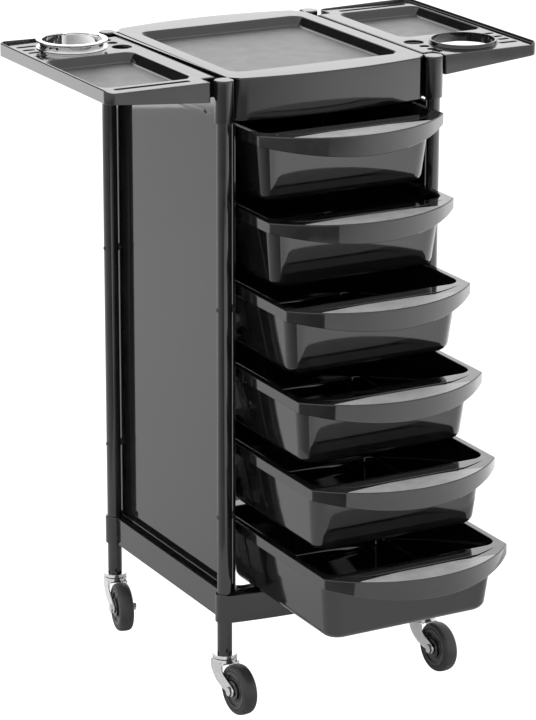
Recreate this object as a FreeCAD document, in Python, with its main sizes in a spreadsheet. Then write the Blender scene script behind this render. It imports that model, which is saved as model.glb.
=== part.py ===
"""Rolling salon trolley: six drawers on a four-post frame, a top tray, two folding side trays, castors.

The trolley stands on the plane z = 0 and faces -Y. The shapes are drawn about the middle of the
four posts; centre_y then moves everything so that the origin is under the middle of the whole
trolley with its drawers pulled out as they stand.
"""
import FreeCAD, Part
import math
import os
from FreeCAD import Placement, Rotation, Vector

doc = FreeCAD.newDocument("salon_trolley")
sheet = doc.addObject("Spreadsheet::Sheet", "sizes")

# Driving dimensions in millimetres; angles in degrees.
DRIVING = {
    # posts and base
    "post_x": 159.2, "post_y": 172, "post_radius": 10.25, "post_wall": 1.2,
    "post_foot": 76, "post_top": 872, "upper_screw": 568, "lower_screw": 275,
    "base_foot": 123, "base_top": 164, "base_half_width": 160.5, "base_end": 185, "base_bow": 15,
    "base_bar": 27, "base_wall": 3, "base_sleeve": 13, "base_corner": 12, "socket_gap": 0.05,
    # side panels and runners
    "panel_outer": 147, "panel_thick": 1.5, "panel_end": 178, "panel_top": 830,
    "shoulder_end": 154, "shoulder_top": 821,
    "upright_thick": 1.2, "upright_y": 128, "upright_width": 24, "upright_foot": 172, "upright_top": 822,
    "ledge_inner": 133, "ledge_thick": 2, "ledge_end": 158, "ledge_gap": 0.5,
    # top tray
    "rim_top": 880, "apron_foot": 823, "side_apron_foot": 815, "tray_half_width": 149,
    "tray_front": 173, "front_bow": 17, "tray_rear": 180, "rear_bow": 20, "tray_wall": 3,
    "side_wall": 2, "tray_rim_half": 147, "tray_ledge_half": 152, "tray_ledge_top": 875,
    "tray_ledge_foot": 870, "lobe_radius": 13.2, "basin_half": 127, "basin_front": 139,
    "basin_rear": 145, "basin_deep": 12, "basin_slope": 8, "basin_corner": 16,
    # side trays, which fold down
    "flap_top": 878, "flap_inner": 178, "flap_outer": 327.5, "flap_end": 172, "flap_corner": 12,
    "tongue_inner": 158, "tongue_end": 145, "flap_wall": 3, "flap_foot_inner": 851.2,
    "flap_foot_outer": 863.8, "lip_top": 882, "lip_thick": 2.8, "flap_basin_inner": 186,
    "flap_basin_outer": 316, "flap_basin_far": 136, "flap_basin_near": 47, "holder_x": 243.5,
    "holder_y": 111.5, "holder_hole": 46.05, "tool_hole_x": 183.5, "large_hole_y": 80,
    "large_hole": 13.8, "small_hole_y": 109, "small_hole": 7, "double_hole_y": 136,
    "slot_outer": 313, "slot_width": 7.5, "short_slot": 17, "long_slot": 28.5,
    "groove_inner": 198, "groove_outer": 307, "groove_y": 150, "groove_width": 8,
    "groove_deep": 1.8, "slot_y_1": 139.5, "slot_y_2": 119, "slot_y_3": 101, "slot_y_4": 79,
    "double_spacing": 13, "flap_inner_corner": 3,
    # side tray hinges
    "hinge_x": 178, "hinge_z": 853, "hinge_y": 48, "pin_radius": 3, "pin_length": 16,
    "pin_gap": 0.05, "eye_radius": 6, "web_thick": 4, "ear_gap": 1, "ear_thick": 4,
    "bracket_thick": 2.5, "bracket_foot": 834, "bracket_top": 866, "bracket_width": 26,
    "bracket_hole_edge": 5, "notch_gap": 3,
    # holder rings
    "ring_flange": 49, "ring_spigot": 46, "ring_wall": 44.35, "ring_bore": 40.7, "ring_rim": 49,
    "ring_top": 890, "ring_sheet": 1.5, "collar_bore": 43.5, "collar_top": 883, "collar_bead": 2, "spigot_foot": 870,
    # drawers
    "drawer_half": 140, "drawer_long": 330, "drawer_deep": 97, "drawer_wall": 2.2,
    "skirt_deep": 15, "tub_half": 132.5, "tub_inset": 17, "tub_draft": 10, "tub_corner": 22,
    "tub_round": 11, "handle_bow": 48, "handle_ends": 12.4, "handle_deep": 28.5, "handle_end_deep": 14.5,
    "groove_half": 110, "groove_front": 13, "groove_back": 4, "drawer_closed": 193,
    "level_1": 815.5, "level_2": 706, "level_3": 599.5, "level_4": 484.5, "level_5": 375.5, "level_6": 263.5,
    "pull_1": 51.7, "pull_2": 81.6, "pull_3": 128, "pull_4": 162, "pull_5": 198.9, "pull_6": 233.4,
    # castors
    "wheel_radius": 35.4, "tyre_width": 21, "tyre_inner": 25.5, "tyre_shoulder": 5, "hub_width": 23,
    "hub_bore": 4.06, "hub_boss": 9, "hub_rim": 3, "hub_web": 3,
    "axle_radius": 4, "trail": 40, "fork_top": 65.5, "fork_thick": 2.2, "fork_gap": 12.3,
    "fork_end": 7.5, "fork_front": 15.5, "fork_rear": 15, "fork_heel": 14, "fork_slope": 40,
    "hexagon": 6.5, "bolt_head": 4, "nut_thick": 5, "collar_radius": 17, "raceway_top": 70,
    "socket_foot": 71.5, "socket_top": 114, "stem_radius": 5, "stem_top": 112,
    "heading_front_left": -88, "heading_front_right": -87,
    "heading_rear_left": -102, "heading_rear_right": -78,
    # screws
    "screw_radius": 1.9, "screw_head": 3.3, "screw_head_high": 1.6, "screw_seat": 0.18,
    "tray_screw_y": 100, "tray_screw_z": 822, "tray_screw_long": 8, "spacer_radius": 5,
}


def fill_sheet():
    """Write each driving dimension in its own row, with its alias."""
    sizes = dict(DRIVING)
    front = sizes["drawer_closed"] + sizes["pull_6"] + sizes["handle_bow"]
    rear = sizes["tray_rear"] + sizes["rear_bow"]
    sizes["centre_y"] = round((front - rear) / 2, 3)
    for row, (alias, value) in enumerate(sizes.items(), start=1):
        sheet.set("A%d" % row, alias)
        sheet.set("B%d" % row, str(value))
        sheet.setAlias("B%d" % row, alias)
    doc.recompute()


def size(alias):
    """A driving dimension, read from the sheet."""
    return float(getattr(sheet, alias))


def bind(item, expressions):
    """Tie an object's properties to cells of the sheet."""
    for name, expression in expressions.items():
        item.setExpression(name, expression)
    return item


def place(item, along_x, along_y, along_z):
    """Tie an object's place to the sheet; the Y place is given from the middle of the posts."""
    return bind(item, {
        "Placement.Base.x": along_x,
        "Placement.Base.y": "sizes.centre_y + (%s)" % along_y,
        "Placement.Base.z": along_z,
    })


def box(name, low, high):
    """A box between two corners, each given as three expressions."""
    item = doc.addObject("Part::Box", name)
    for side, start, end in zip(("Length", "Width", "Height"), low, high):
        item.setExpression(side, "(%s) - (%s)" % (end, start))
    return place(item, *low)


def rod(name, direction, radius, length, foot):
    """A cylinder that starts at foot and runs along a direction; sizes are expressions."""
    item = doc.addObject("Part::Cylinder", name)
    item.Placement = Placement(Vector(0, 0, 0), Rotation(Vector(0, 0, 1), direction))
    bind(item, {"Radius": radius, "Height": length})
    return place(item, *foot)


def fuse(name, items):
    """One object from several; pieces that don't touch stay separate solids."""
    item = doc.addObject("Part::MultiFuse", name)
    item.Shapes = items
    return item


def cut(name, base, tools):
    """The base with every tool taken out of it."""
    item = doc.addObject("Part::Cut", name)
    item.Base = base
    item.Tool = tools[0] if len(tools) == 1 else fuse(name + "_tools", tools)
    return item


def feature(name, shape, placement=None):
    """A shape made with Part's own functions, put in its place after it is set."""
    item = doc.addObject("Part::Feature", name)
    item.Shape = shape
    item.Placement = placement or Placement(Vector(0, size("centre_y"), 0), Rotation())
    return item


def rounded_wire(corners, height):
    """A closed flat wire through corners (x, y, radius), each rounded by its radius."""
    arcs = []
    for index, (along_x, along_y, radius) in enumerate(corners):
        corner = Vector(along_x, along_y, height)
        last = corners[index - 1]
        following = corners[(index + 1) % len(corners)]
        back = (Vector(last[0], last[1], height) - corner).normalize()
        ahead = (Vector(following[0], following[1], height) - corner).normalize()
        half_angle = back.getAngle(ahead) / 2
        reach = radius / math.tan(half_angle)
        middle = (back + ahead).normalize() * (radius / math.sin(half_angle) - radius)
        arcs.append((corner + back * reach, corner + middle, corner + ahead * reach))
    edges = []
    for index, (start, middle, end) in enumerate(arcs):
        previous_end = arcs[index - 1][2]
        if previous_end.distanceToPoint(start) > 1e-6:
            edges.append(Part.LineSegment(previous_end, start).toShape())
        edges.append(Part.Arc(start, middle, end).toShape())
    return Part.Wire(edges)


def rectangle(low_x, high_x, low_y, high_y, radius, height):
    """A closed flat rectangle with round corners."""
    return rounded_wire([(low_x, low_y, radius), (high_x, low_y, radius),
                         (high_x, high_y, radius), (low_x, high_y, radius)], height)


def bowed_wire(half_width, front, front_bow, rear, rear_bow, height):
    """A closed flat outline with straight sides and bowed front and rear edges."""
    front_left = Vector(-half_width, -front, height)
    front_right = Vector(half_width, -front, height)
    rear_right = Vector(half_width, rear, height)
    rear_left = Vector(-half_width, rear, height)
    return Part.Wire([
        Part.Arc(front_left, Vector(0, -front - front_bow, height), front_right).toShape(),
        Part.LineSegment(front_right, rear_right).toShape(),
        Part.Arc(rear_right, Vector(0, rear + rear_bow, height), rear_left).toShape(),
        Part.LineSegment(rear_left, front_left).toShape(),
    ])


def prism(wire, rise):
    """The solid that a flat wire sweeps as it rises."""
    return Part.Face(wire).extrude(Vector(0, 0, rise))


def pillar(along_x, along_y, foot, top, radius):
    """An upright cylinder."""
    return Part.makeCylinder(radius, top - foot, Vector(along_x, along_y, foot))


def block(low, high):
    """A box between two corners given as numbers."""
    span = Vector(*high) - Vector(*low)
    return Part.makeBox(span.x, span.y, span.z, Vector(*low))


def basin(low_x, high_x, low_y, high_y, top, floor, slope, corner, inset, over=0):
    """A tapered basin solid, inset on all sides, with its top raised by over."""
    grow = slope * over / (top - floor)
    upper = rectangle(low_x + inset - grow, high_x - inset + grow, low_y + inset - grow,
                      high_y - inset + grow, corner, top + over)
    lower = rectangle(low_x + slope + inset, high_x - slope - inset, low_y + slope + inset,
                      high_y - slope - inset, corner - slope / 2, floor)
    return Part.makeLoft([lower, upper], True, True)


def plane_sketch(body, name, role):
    """An empty sketch on one of the body's own origin planes."""
    sketch = body.newObject("Sketcher::SketchObject", name)
    plane = [item for item in body.Origin.OriginFeatures if item.Role == role][0]
    sketch.AttachmentSupport = [(plane, "")]
    sketch.MapMode = "FlatFace"
    return sketch


def draw_polygon(sketch, points):
    """Straight lines through the points, closed."""
    for index, (along, up) in enumerate(points):
        start = points[index - 1]
        sketch.addGeometry(Part.LineSegment(Vector(start[0], start[1], 0), Vector(along, up, 0)))


def turned_body(name, points, placement):
    """A body of revolution about its own Z axis, from a profile of (radius, height) points."""
    body = doc.addObject("PartDesign::Body", name)
    sketch = plane_sketch(body, name + "_profile", "XZ_Plane")
    draw_polygon(sketch, points)
    turn = body.newObject("PartDesign::Revolution", name + "_turn")
    turn.Profile = sketch
    turn.ReferenceAxis = (sketch, ["V_Axis"])
    turn.Angle = 360
    body.Placement = placement
    return body


CORNERS = {"front_left": (-1, -1), "front_right": (1, -1), "rear_left": (-1, 1), "rear_right": (1, 1)}
SIDES = {"left": -1, "right": 1}
ALONG_X = Vector(1, 0, 0)
ALONG_Y = Vector(0, 1, 0)


def build_posts():
    """Four black tubes, each with two cross holes for its screws."""
    for corner, (side, end) in CORNERS.items():
        name = "post_" + corner
        centre = ["%d * sizes.post_x" % side, "%d * sizes.post_y" % end]
        foot = centre + ["sizes.post_foot"]
        length = "sizes.post_top - sizes.post_foot"
        tube = rod(name + "_tube", Vector(0, 0, 1), "sizes.post_radius", length, foot)
        tools = [rod(name + "_bore", Vector(0, 0, 1), "sizes.post_radius - sizes.post_wall",
                     length, foot)]
        for level in ("upper_screw", "lower_screw"):
            tools.append(rod(name + "_" + level, ALONG_X, "sizes.screw_radius",
                             "3 * sizes.post_radius",
                             ["%d * sizes.post_x - 1.5 * sizes.post_radius" % side, centre[1],
                              "sizes." + level]))
        cut(name, tube, tools)


def build_base_frame():
    """The bottom ring: hollow underneath, with a sleeve for each post and an open middle."""
    foot, top, wall = size("base_foot"), size("base_top"), size("base_wall")
    half, end, bow, bar = size("base_half_width"), size("base_end"), size("base_bow"), size("base_bar")
    corner = size("base_corner")
    outer = prism(bowed_wire(half, end, bow, end, bow, foot), top - foot)
    hollow = prism(bowed_wire(half - wall, end - wall, bow, end - wall, bow, foot), top - foot - wall)
    inner_wall = prism(rectangle(-half + bar - wall, half - bar + wall, -end + bar - wall,
                                 end - bar + wall, corner + wall, foot), top - foot)
    opening = prism(rectangle(-half + bar, half - bar, -end + bar, end - bar, corner, foot),
                    top - foot)
    shape = outer.cut(hollow).fuse(inner_wall)
    for side, along in CORNERS.values():
        shape = shape.fuse(pillar(side * size("post_x"), along * size("post_y"), foot, top,
                                  size("base_sleeve")))
    shape = shape.cut(opening)
    for side, along in CORNERS.values():
        shape = shape.cut(pillar(side * size("post_x"), along * size("post_y"), foot - 1, top + 1,
                                 size("post_radius") + size("socket_gap")))
    feature("base_frame", shape.removeSplitter())


def build_side_panels():
    """Flat side sheets between the posts, with lower shoulders under the tray's post sleeves."""
    end, shoulder = size("panel_end"), size("shoulder_end")
    foot, top, low_top = size("base_top"), size("panel_top"), size("shoulder_top")
    levels = [size("lower_screw"), size("upper_screw")]
    outline = [(-end, foot), (-end, low_top), (-shoulder, low_top), (-shoulder, top),
               (shoulder, top), (shoulder, low_top), (end, low_top), (end, foot)]
    holes = [(along * size("post_y"), level) for along in (-1, 1) for level in levels]
    holes += [(along * size("tray_screw_y"), size("tray_screw_z")) for along in (-1, 1)]
    for side_name, side in SIDES.items():
        body = doc.addObject("PartDesign::Body", "side_panel_" + side_name)
        sketch = plane_sketch(body, "panel_outline_" + side_name, "YZ_Plane")
        draw_polygon(sketch, outline)
        for along, level in holes:
            sketch.addGeometry(Part.Circle(Vector(along, level, 0), Vector(0, 0, 1),
                                           size("screw_radius")))
        pad = body.newObject("PartDesign::Pad", "panel_sheet_" + side_name)
        pad.Profile = sketch
        bind(pad, {"Length": "sizes.panel_thick"})
        low = "-sizes.panel_outer" if side < 0 else "sizes.panel_outer - sizes.panel_thick"
        place(body, low, "0", "0")


def build_runners():
    """Upright strips on the panels' inner faces, and six ledges on each side for the drawers."""
    for side_name, side in SIDES.items():
        inner = "sizes.panel_outer - sizes.panel_thick"
        near = "(%s - sizes.upright_thick)" % inner
        strip = [near, inner] if side > 0 else ["-(%s)" % inner, "-" + near]
        shelf = ["sizes.ledge_inner", near] if side > 0 else ["-" + near, "-sizes.ledge_inner"]
        uprights = []
        for along in (-1, 1):
            middle = "%d * sizes.upright_y" % along
            uprights.append(box("upright_%s_%s" % (side_name, "rear" if along > 0 else "front"),
                                [strip[0], middle + " - sizes.upright_width / 2",
                                 "sizes.upright_foot"],
                                [strip[1], middle + " + sizes.upright_width / 2",
                                 "sizes.upright_top"]))
        fuse("runner_uprights_" + side_name, uprights)
        ledges = []
        for number in range(1, 7):
            top = "sizes.level_%d - sizes.skirt_deep - sizes.ledge_gap" % number
            ledges.append(box("ledge_%s_%d" % (side_name, number),
                              [shelf[0], "-sizes.ledge_end", top + " - sizes.ledge_thick"],
                              [shelf[1], "sizes.ledge_end", top]))
        fuse("runner_ledges_" + side_name, ledges)


def build_top_tray():
    """The top moulding: basin, stepped side rims, bowed apron and a sleeve over each post."""
    top, foot, wall = size("rim_top"), size("apron_foot"), size("tray_wall")
    half, front, rear = size("tray_half_width"), size("tray_front"), size("tray_rear")
    front_bow, rear_bow = size("front_bow"), size("rear_bow")
    outer = prism(bowed_wire(half, front, front_bow, rear, rear_bow, foot), top - foot)
    rim_cut = size("tray_ledge_top")
    for side in (-1, 1):
        near, far = sorted((side * size("tray_rim_half"), side * (half + 1)))
        outer = outer.cut(block((near, -front - 1, rim_cut), (far, rear + 1, top + 1)))
    hollow = prism(bowed_wire(half - size("side_wall"), front - wall, front_bow, rear - wall,
                              rear_bow, foot - 1), top - wall - foot + 1)
    basin_box = (-size("basin_half"), size("basin_half"), -size("basin_front"), size("basin_rear"))
    floor = top - size("basin_deep")
    slope, corner = size("basin_slope"), size("basin_corner")
    hollow = hollow.cut(basin(*basin_box, top, floor - wall, slope, corner, -wall))
    shape = outer.cut(hollow).cut(basin(*basin_box, top, floor, slope, corner, 0, over=1))
    for side in (-1, 1):
        reach = size("post_y") - size("lobe_radius")
        inner, ledge = sorted((side * size("tray_rim_half"), side * size("tray_ledge_half")))
        shape = shape.fuse(block((inner, -reach, size("tray_ledge_foot")), (ledge, reach, rim_cut)))
        inner, face = sorted((side * (half - size("side_wall")), side * half))
        shape = shape.fuse(block((inner, -reach, size("side_apron_foot")), (face, reach, foot)))
    for side, along in CORNERS.values():
        shape = shape.fuse(pillar(side * size("post_x"), along * size("post_y"), foot - 1, top,
                                  size("lobe_radius")))
    for side, along in CORNERS.values():
        shape = shape.cut(pillar(side * size("post_x"), along * size("post_y"), foot - 2,
                                 size("post_top"), size("post_radius") + size("socket_gap")))
    for side in (-1, 1):
        for along, level in tray_holes():
            start = Vector(side * size("tray_half_width") / 2, along, level)
            shape = shape.cut(Part.makeCylinder(size("screw_radius"), size("tray_half_width"), start,
                                                Vector(side, 0, 0)))
    feature("top_tray", shape.removeSplitter())


def bracket_holes():
    """Where the hinge brackets' screws go, as (y, z)."""
    middle = (size("bracket_foot") + size("bracket_top")) / 2
    spread = size("bracket_width") / 2 - size("bracket_hole_edge")
    return [(along * size("hinge_y") + shift, middle) for along in (-1, 1)
            for shift in (-spread, spread)]


def tray_holes():
    """Every screw hole in the top tray's side aprons, as (y, z)."""
    holes = [(along * size("tray_screw_y"), size("tray_screw_z")) for along in (-1, 1)]
    return holes + bracket_holes()


def build_hinges():
    """Two steel brackets and two pins under each side tray."""
    for side_name, side in SIDES.items():
        pins = []
        for end_name, along in (("front", -1), ("rear", 1)):
            name = "hinge_bracket_%s_%s" % (end_name, side_name)
            middle = "%d * sizes.hinge_y" % along
            plate = sorted_pair(side, "sizes.tray_half_width",
                                "(sizes.tray_half_width + sizes.bracket_thick)")
            web = sorted_pair(side, "sizes.tray_half_width", "sizes.hinge_x")
            pieces = [
                box(name + "_plate",
                    [plate[0], middle + " - sizes.bracket_width / 2", "sizes.bracket_foot"],
                    [plate[1], middle + " + sizes.bracket_width / 2", "sizes.bracket_top"]),
                box(name + "_web",
                    [web[0], middle + " - sizes.web_thick / 2", "sizes.hinge_z - sizes.eye_radius"],
                    [web[1], middle + " + sizes.web_thick / 2", "sizes.hinge_z + sizes.eye_radius"]),
                rod(name + "_eye", ALONG_Y, "sizes.eye_radius", "sizes.web_thick",
                    ["%d * sizes.hinge_x" % side, middle + " - sizes.web_thick / 2", "sizes.hinge_z"]),
            ]
            tools = [rod(name + "_bore", ALONG_Y, "sizes.pin_radius + sizes.pin_gap",
                         "2 * sizes.web_thick",
                         ["%d * sizes.hinge_x" % side, middle + " - sizes.web_thick", "sizes.hinge_z"])]
            for shift in (-1, 1):
                offset = " + %d * (sizes.bracket_width / 2 - sizes.bracket_hole_edge)" % shift
                tools.append(rod(name + "_hole_%d" % (shift + 1), ALONG_X, "sizes.screw_radius",
                                 "3 * sizes.bracket_thick",
                                 [plate[0] + " - sizes.bracket_thick", middle + offset,
                                  "(sizes.bracket_foot + sizes.bracket_top) / 2"]))
            cut(name, fuse(name + "_blank", pieces), tools)
            pins.append(rod("hinge_pin_%s_%s" % (end_name, side_name), ALONG_Y, "sizes.pin_radius",
                            "sizes.pin_length",
                            ["%d * sizes.hinge_x" % side, middle + " - sizes.pin_length / 2",
                             "sizes.hinge_z"]))
        fuse("hinge_pins_" + side_name, pins)


def sorted_pair(side, near, far):
    """Two distances from the middle as a low and a high X expression on one side."""
    return ["-" + far, "-" + near] if side < 0 else [near, far]


def side_tray_shape(basin_end):
    """One folding tray on the +X side, with its basin towards the front (-1) or the rear (1)."""
    top, wall = size("flap_top"), size("flap_wall")
    foot, inner, outer = size("flap_foot_inner"), size("flap_inner"), size("flap_outer")
    end, tongue, tongue_end = size("flap_end"), size("tongue_inner"), size("tongue_end")
    corner, small = size("flap_corner"), size("flap_inner_corner")

    def outline(inset, height):
        return rounded_wire([
            (tongue + inset, -tongue_end + inset, small), (inner + inset, -tongue_end + inset, small),
            (inner + inset, -end + inset, small), (outer - inset, -end + inset, corner - inset),
            (outer - inset, end - inset, corner - inset), (inner + inset, end - inset, small),
            (inner + inset, tongue_end - inset, small), (tongue + inset, tongue_end - inset, small)],
            height)

    shape = prism(outline(0, foot), size("lip_top") - foot)
    shape = shape.cut(prism(outline(wall, foot), top - foot - wall))
    inside_lip = prism(rectangle(0, outer - size("lip_thick"), -2 * end, end - size("lip_thick"),
                                 corner - size("lip_thick"), top), wall + 2)
    shape = shape.cut(inside_lip)
    basin_box = [size("flap_basin_inner"), size("flap_basin_outer")]
    basin_box += sorted((-basin_end * size("flap_basin_near"), basin_end * size("flap_basin_far")))
    floor = top - size("basin_deep")
    slope, basin_corner = size("basin_slope"), size("basin_corner")
    shape = shape.fuse(basin(*basin_box, top, floor - wall, slope, basin_corner, -wall)
                       .common(prism(outline(0, foot), top - foot)))
    shape = shape.cut(basin(*basin_box, top, floor, slope, basin_corner, 0, over=1))
    slant = Part.Wire(Part.makePolygon([
        Vector(0, -end - 1, foot - 1), Vector(hinge_edge(), -end - 1, foot),
        Vector(outer + 1, -end - 1, size("flap_foot_outer")), Vector(outer + 1, -end - 1, foot - 1),
        Vector(0, -end - 1, foot - 1)]))
    shape = shape.cut(Part.Face(slant).extrude(Vector(0, 2 * end + 2, 0)))
    holder_end = -basin_end
    cuts = [pillar(size("holder_x"), holder_end * size("holder_y"), foot - 1, top + 1,
                   size("holder_hole"))]
    hole_x = size("tool_hole_x")
    cuts.append(pillar(hole_x, holder_end * size("large_hole_y"), foot, top + 1, size("large_hole")))
    cuts.append(pillar(hole_x, holder_end * size("small_hole_y"), foot, top + 1, size("small_hole")))
    for shift in (-1, 1):
        along = holder_end * size("double_hole_y") + shift * size("double_spacing") / 2
        cuts.append(pillar(hole_x, along, foot, top + 1, size("small_hole")))
    slot_half = size("slot_width") / 2
    for number, length in enumerate(("long_slot", "short_slot", "short_slot", "short_slot"), start=1):
        middle = holder_end * size("slot_y_%d" % number)
        cuts.append(prism(rectangle(size("slot_outer") - size(length), size("slot_outer"),
                                    middle - slot_half, middle + slot_half, slot_half - 0.1,
                                    top - wall - 1), wall + 2))
    groove_half = size("groove_width") / 2
    groove_middle = basin_end * size("groove_y")
    cuts.append(prism(rectangle(size("groove_inner"), size("groove_outer"),
                                groove_middle - groove_half, groove_middle + groove_half, small,
                                top - size("groove_deep")), 3))
    for tool in cuts:
        shape = shape.cut(tool)
    return add_hinge_ears(shape)


def hinge_edge():
    """Where the side tray's level foot ends and its slanted underside starts."""
    return size("hinge_x") + size("eye_radius")


def add_hinge_ears(shape):
    """Notch the tongue for the brackets, and add two pin ears beside each bracket."""
    foot, wall, eye = size("flap_foot_inner"), size("flap_wall"), size("eye_radius")
    hinge_x, hinge_z = size("hinge_x"), size("hinge_z")
    ear_top = size("flap_top") - wall
    notch_half = size("web_thick") / 2 + size("ear_gap") + size("ear_thick")
    notch_half += size("notch_gap")
    for along in (-1, 1):
        middle = along * size("hinge_y")
        shape = shape.cut(block((size("tongue_inner") - 1, middle - notch_half, foot - 1),
                                (size("tongue_inner") + wall + 1, middle + notch_half, ear_top)))
    for along in (-1, 1):
        middle = along * size("hinge_y")
        for shift in (-1, 1):
            near = middle + shift * (size("web_thick") / 2 + size("ear_gap"))
            far = near + shift * size("ear_thick")
            low, high = sorted((near, far))
            shape = shape.fuse(block((hinge_x - eye, low, hinge_z), (hinge_x + eye, high, ear_top)))
            shape = shape.fuse(Part.makeCylinder(eye, high - low, Vector(hinge_x, low, hinge_z),
                                                 ALONG_Y))
            shape = shape.cut(Part.makeCylinder(size("pin_radius"), high - low + 2,
                                                Vector(hinge_x, low - 1, hinge_z), ALONG_Y))
    return shape.removeSplitter()


def build_side_trays():
    """The right tray has its basin at the rear, the left one at the front."""
    feature("side_tray_right", side_tray_shape(1))
    mirrored = side_tray_shape(-1).mirror(Vector(0, 0, 0), ALONG_X)
    feature("side_tray_left", mirrored)


def build_holder_rings():
    """A stepped chrome ring in the left tray's opening and a plain collar in the right one."""
    top, sheet_thick = size("flap_top"), size("ring_sheet")
    wall, rim, bore = size("ring_wall"), size("ring_rim"), size("ring_bore")
    foot, spigot, flange = size("spigot_foot"), size("ring_spigot"), size("ring_flange")
    inner = wall - sheet_thick
    chrome = [
        (inner, foot), (spigot, foot), (spigot, top), (flange, top), (flange, top + sheet_thick),
        (wall, top + sheet_thick), (wall, size("ring_top") - 2 * sheet_thick),
        (rim, size("ring_top") - 2 * sheet_thick), (rim, size("ring_top")), (bore, size("ring_top")),
        (bore, size("ring_top") - sheet_thick), (inner, size("ring_top") - 2 * sheet_thick)]
    where = Vector(-size("holder_x"), size("centre_y") + size("holder_y"), 0)
    turned_body("dryer_ring", chrome, Placement(where, Rotation()))
    collar_bore, collar_top = size("collar_bore"), size("collar_top")
    bead = size("collar_bead")
    collar = [
        (collar_bore, foot), (spigot, foot), (spigot, top), (spigot + bead, top),
        (spigot + bead / 3, top + bead), (spigot, collar_top - bead / 2),
        (spigot - bead / 3, collar_top), (collar_bore, collar_top)]
    where = Vector(size("holder_x"), size("centre_y") - size("holder_y"), 0)
    turned_body("holder_collar", collar, Placement(where, Rotation()))


def drawer_tub(inset):
    """The tapered tub with a rounded bottom edge; inset makes the inside of its wall."""
    half, long, deep = size("tub_half"), size("drawer_long"), size("drawer_deep") - inset
    near, draft, edge = size("tub_inset"), size("tub_draft"), size("tub_round")
    over = 1 if inset else 0
    sections = []
    for turn in (90, 60, 30, 0):
        down = deep - edge * (1 - math.sin(math.radians(turn)))
        narrow = edge * (1 - math.cos(math.radians(turn))) + draft * down / deep + inset
        sections.append((down, narrow))
    sections.append((-over, inset - draft * over / deep))
    wires = []
    for down, narrow in sections:
        corner = size("tub_corner") - inset - narrow / 3
        wires.append(rectangle(-half + narrow, half - narrow, near + narrow, long - near - narrow,
                               max(corner, size("tub_round") / 3), -down))
    return Part.makeLoft(wires, True, True)


def drawer_shape():
    """One drawer about its front rim corner: tub, flat rim, side skirts and a bowed handle."""
    half, long, wall = size("drawer_half"), size("drawer_long"), size("drawer_wall")
    skirt, bow, ends = size("skirt_deep"), size("handle_bow"), size("handle_ends")

    def outline(inset, height):
        front_left = Vector(-half + inset, ends, height)
        front_right = Vector(half - inset, ends, height)
        rear_right = Vector(half - inset, long - inset, height)
        rear_left = Vector(-half + inset, long - inset, height)
        return Part.Wire([
            Part.Arc(front_left, Vector(0, -bow + inset, height), front_right).toShape(),
            Part.LineSegment(front_right, rear_right).toShape(),
            Part.LineSegment(rear_right, rear_left).toShape(),
            Part.LineSegment(rear_left, front_left).toShape(),
        ])

    deep = size("handle_deep")
    skirts = prism(outline(0, -deep), deep).cut(prism(outline(wall, -deep - 1), deep + 1 - wall))
    side_cut = block((-half - 1, ends, -deep - 1), (half + 1, long + 1, -skirt))
    skirts = skirts.cut(side_cut)
    end_deep = size("handle_end_deep")
    arch_ends = Vector(-half - 1, ends, -end_deep), Vector(half + 1, ends, -end_deep)
    arch_feet = Vector(-half - 1, ends, -deep - 5), Vector(half + 1, ends, -deep - 5)
    arch = Part.Wire([
        Part.Arc(arch_ends[0], Vector(0, ends, -deep), arch_ends[1]).toShape(),
        Part.LineSegment(arch_ends[1], arch_feet[1]).toShape(),
        Part.LineSegment(arch_feet[1], arch_feet[0]).toShape(),
        Part.LineSegment(arch_feet[0], arch_ends[0]).toShape(),
    ])
    skirts = skirts.cut(Part.Face(arch).extrude(Vector(0, -bow - ends - 5, 0)))
    groove_half, groove_back = size("groove_half"), size("groove_back")
    groove_ends = Vector(-groove_half, -groove_back, -5), Vector(groove_half, -groove_back, -5)
    groove = Part.Wire([
        Part.Arc(groove_ends[0], Vector(0, -size("groove_front"), -5), groove_ends[1]).toShape(),
        Part.LineSegment(groove_ends[1], groove_ends[0]).toShape(),
    ])
    shape = skirts.cut(prism(groove, 10)).fuse(drawer_tub(0)).cut(drawer_tub(wall))
    return shape.removeSplitter()


def build_drawers():
    """Six identical drawers, each pulled out by its own amount."""
    shape = drawer_shape()
    for number in range(1, 7):
        forward = size("drawer_closed") + size("pull_%d" % number)
        where = Vector(0, size("centre_y") - forward, size("level_%d" % number))
        feature("drawer_%d" % number, shape.copy(), Placement(where, Rotation()))


def fork_shape():
    """A pressed fork about the stem axis, with the wheel ahead along +X."""
    top, thick, gap = size("fork_top"), size("fork_thick"), size("fork_gap")
    front, rear, end = size("fork_front"), size("fork_rear"), size("fork_end")
    trail, axle_height = size("trail"), size("wheel_radius")
    slope = math.radians(size("fork_slope"))
    nose = Vector(trail + end * math.cos(slope), 0, axle_height + end * math.sin(slope))
    heel = Vector(trail - end * math.sin(slope), 0, axle_height - end * math.cos(slope))
    bottom = Vector(trail + end * math.sin(slope), 0, axle_height - end * math.cos(slope))
    shoulder = Vector(-rear, 0, top - size("fork_heel"))
    corners = [Vector(-rear, 0, top), Vector(front, 0, top), nose]
    edges = [Part.LineSegment(corners[0], corners[1]).toShape(),
             Part.LineSegment(corners[1], corners[2]).toShape(),
             Part.Arc(nose, bottom, heel).toShape(),
             Part.LineSegment(heel, shoulder).toShape(),
             Part.LineSegment(shoulder, corners[0]).toShape()]
    cheek = Part.Face(Part.Wire(edges))
    shape = block((-rear, -gap - thick, top - thick), (front, gap + thick, top))
    for side in (-1, 1):
        plate = cheek.extrude(Vector(0, side * thick, 0))
        plate.translate(Vector(0, side * gap, 0))
        shape = shape.fuse(plate)
    shape = shape.cut(pillar(0, 0, top - thick - 1, top + 1, size("stem_radius")))
    bore = Part.makeCylinder(size("axle_radius"), 4 * gap, Vector(trail, -2 * gap, axle_height), ALONG_Y)
    return shape.cut(bore).removeSplitter()


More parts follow.
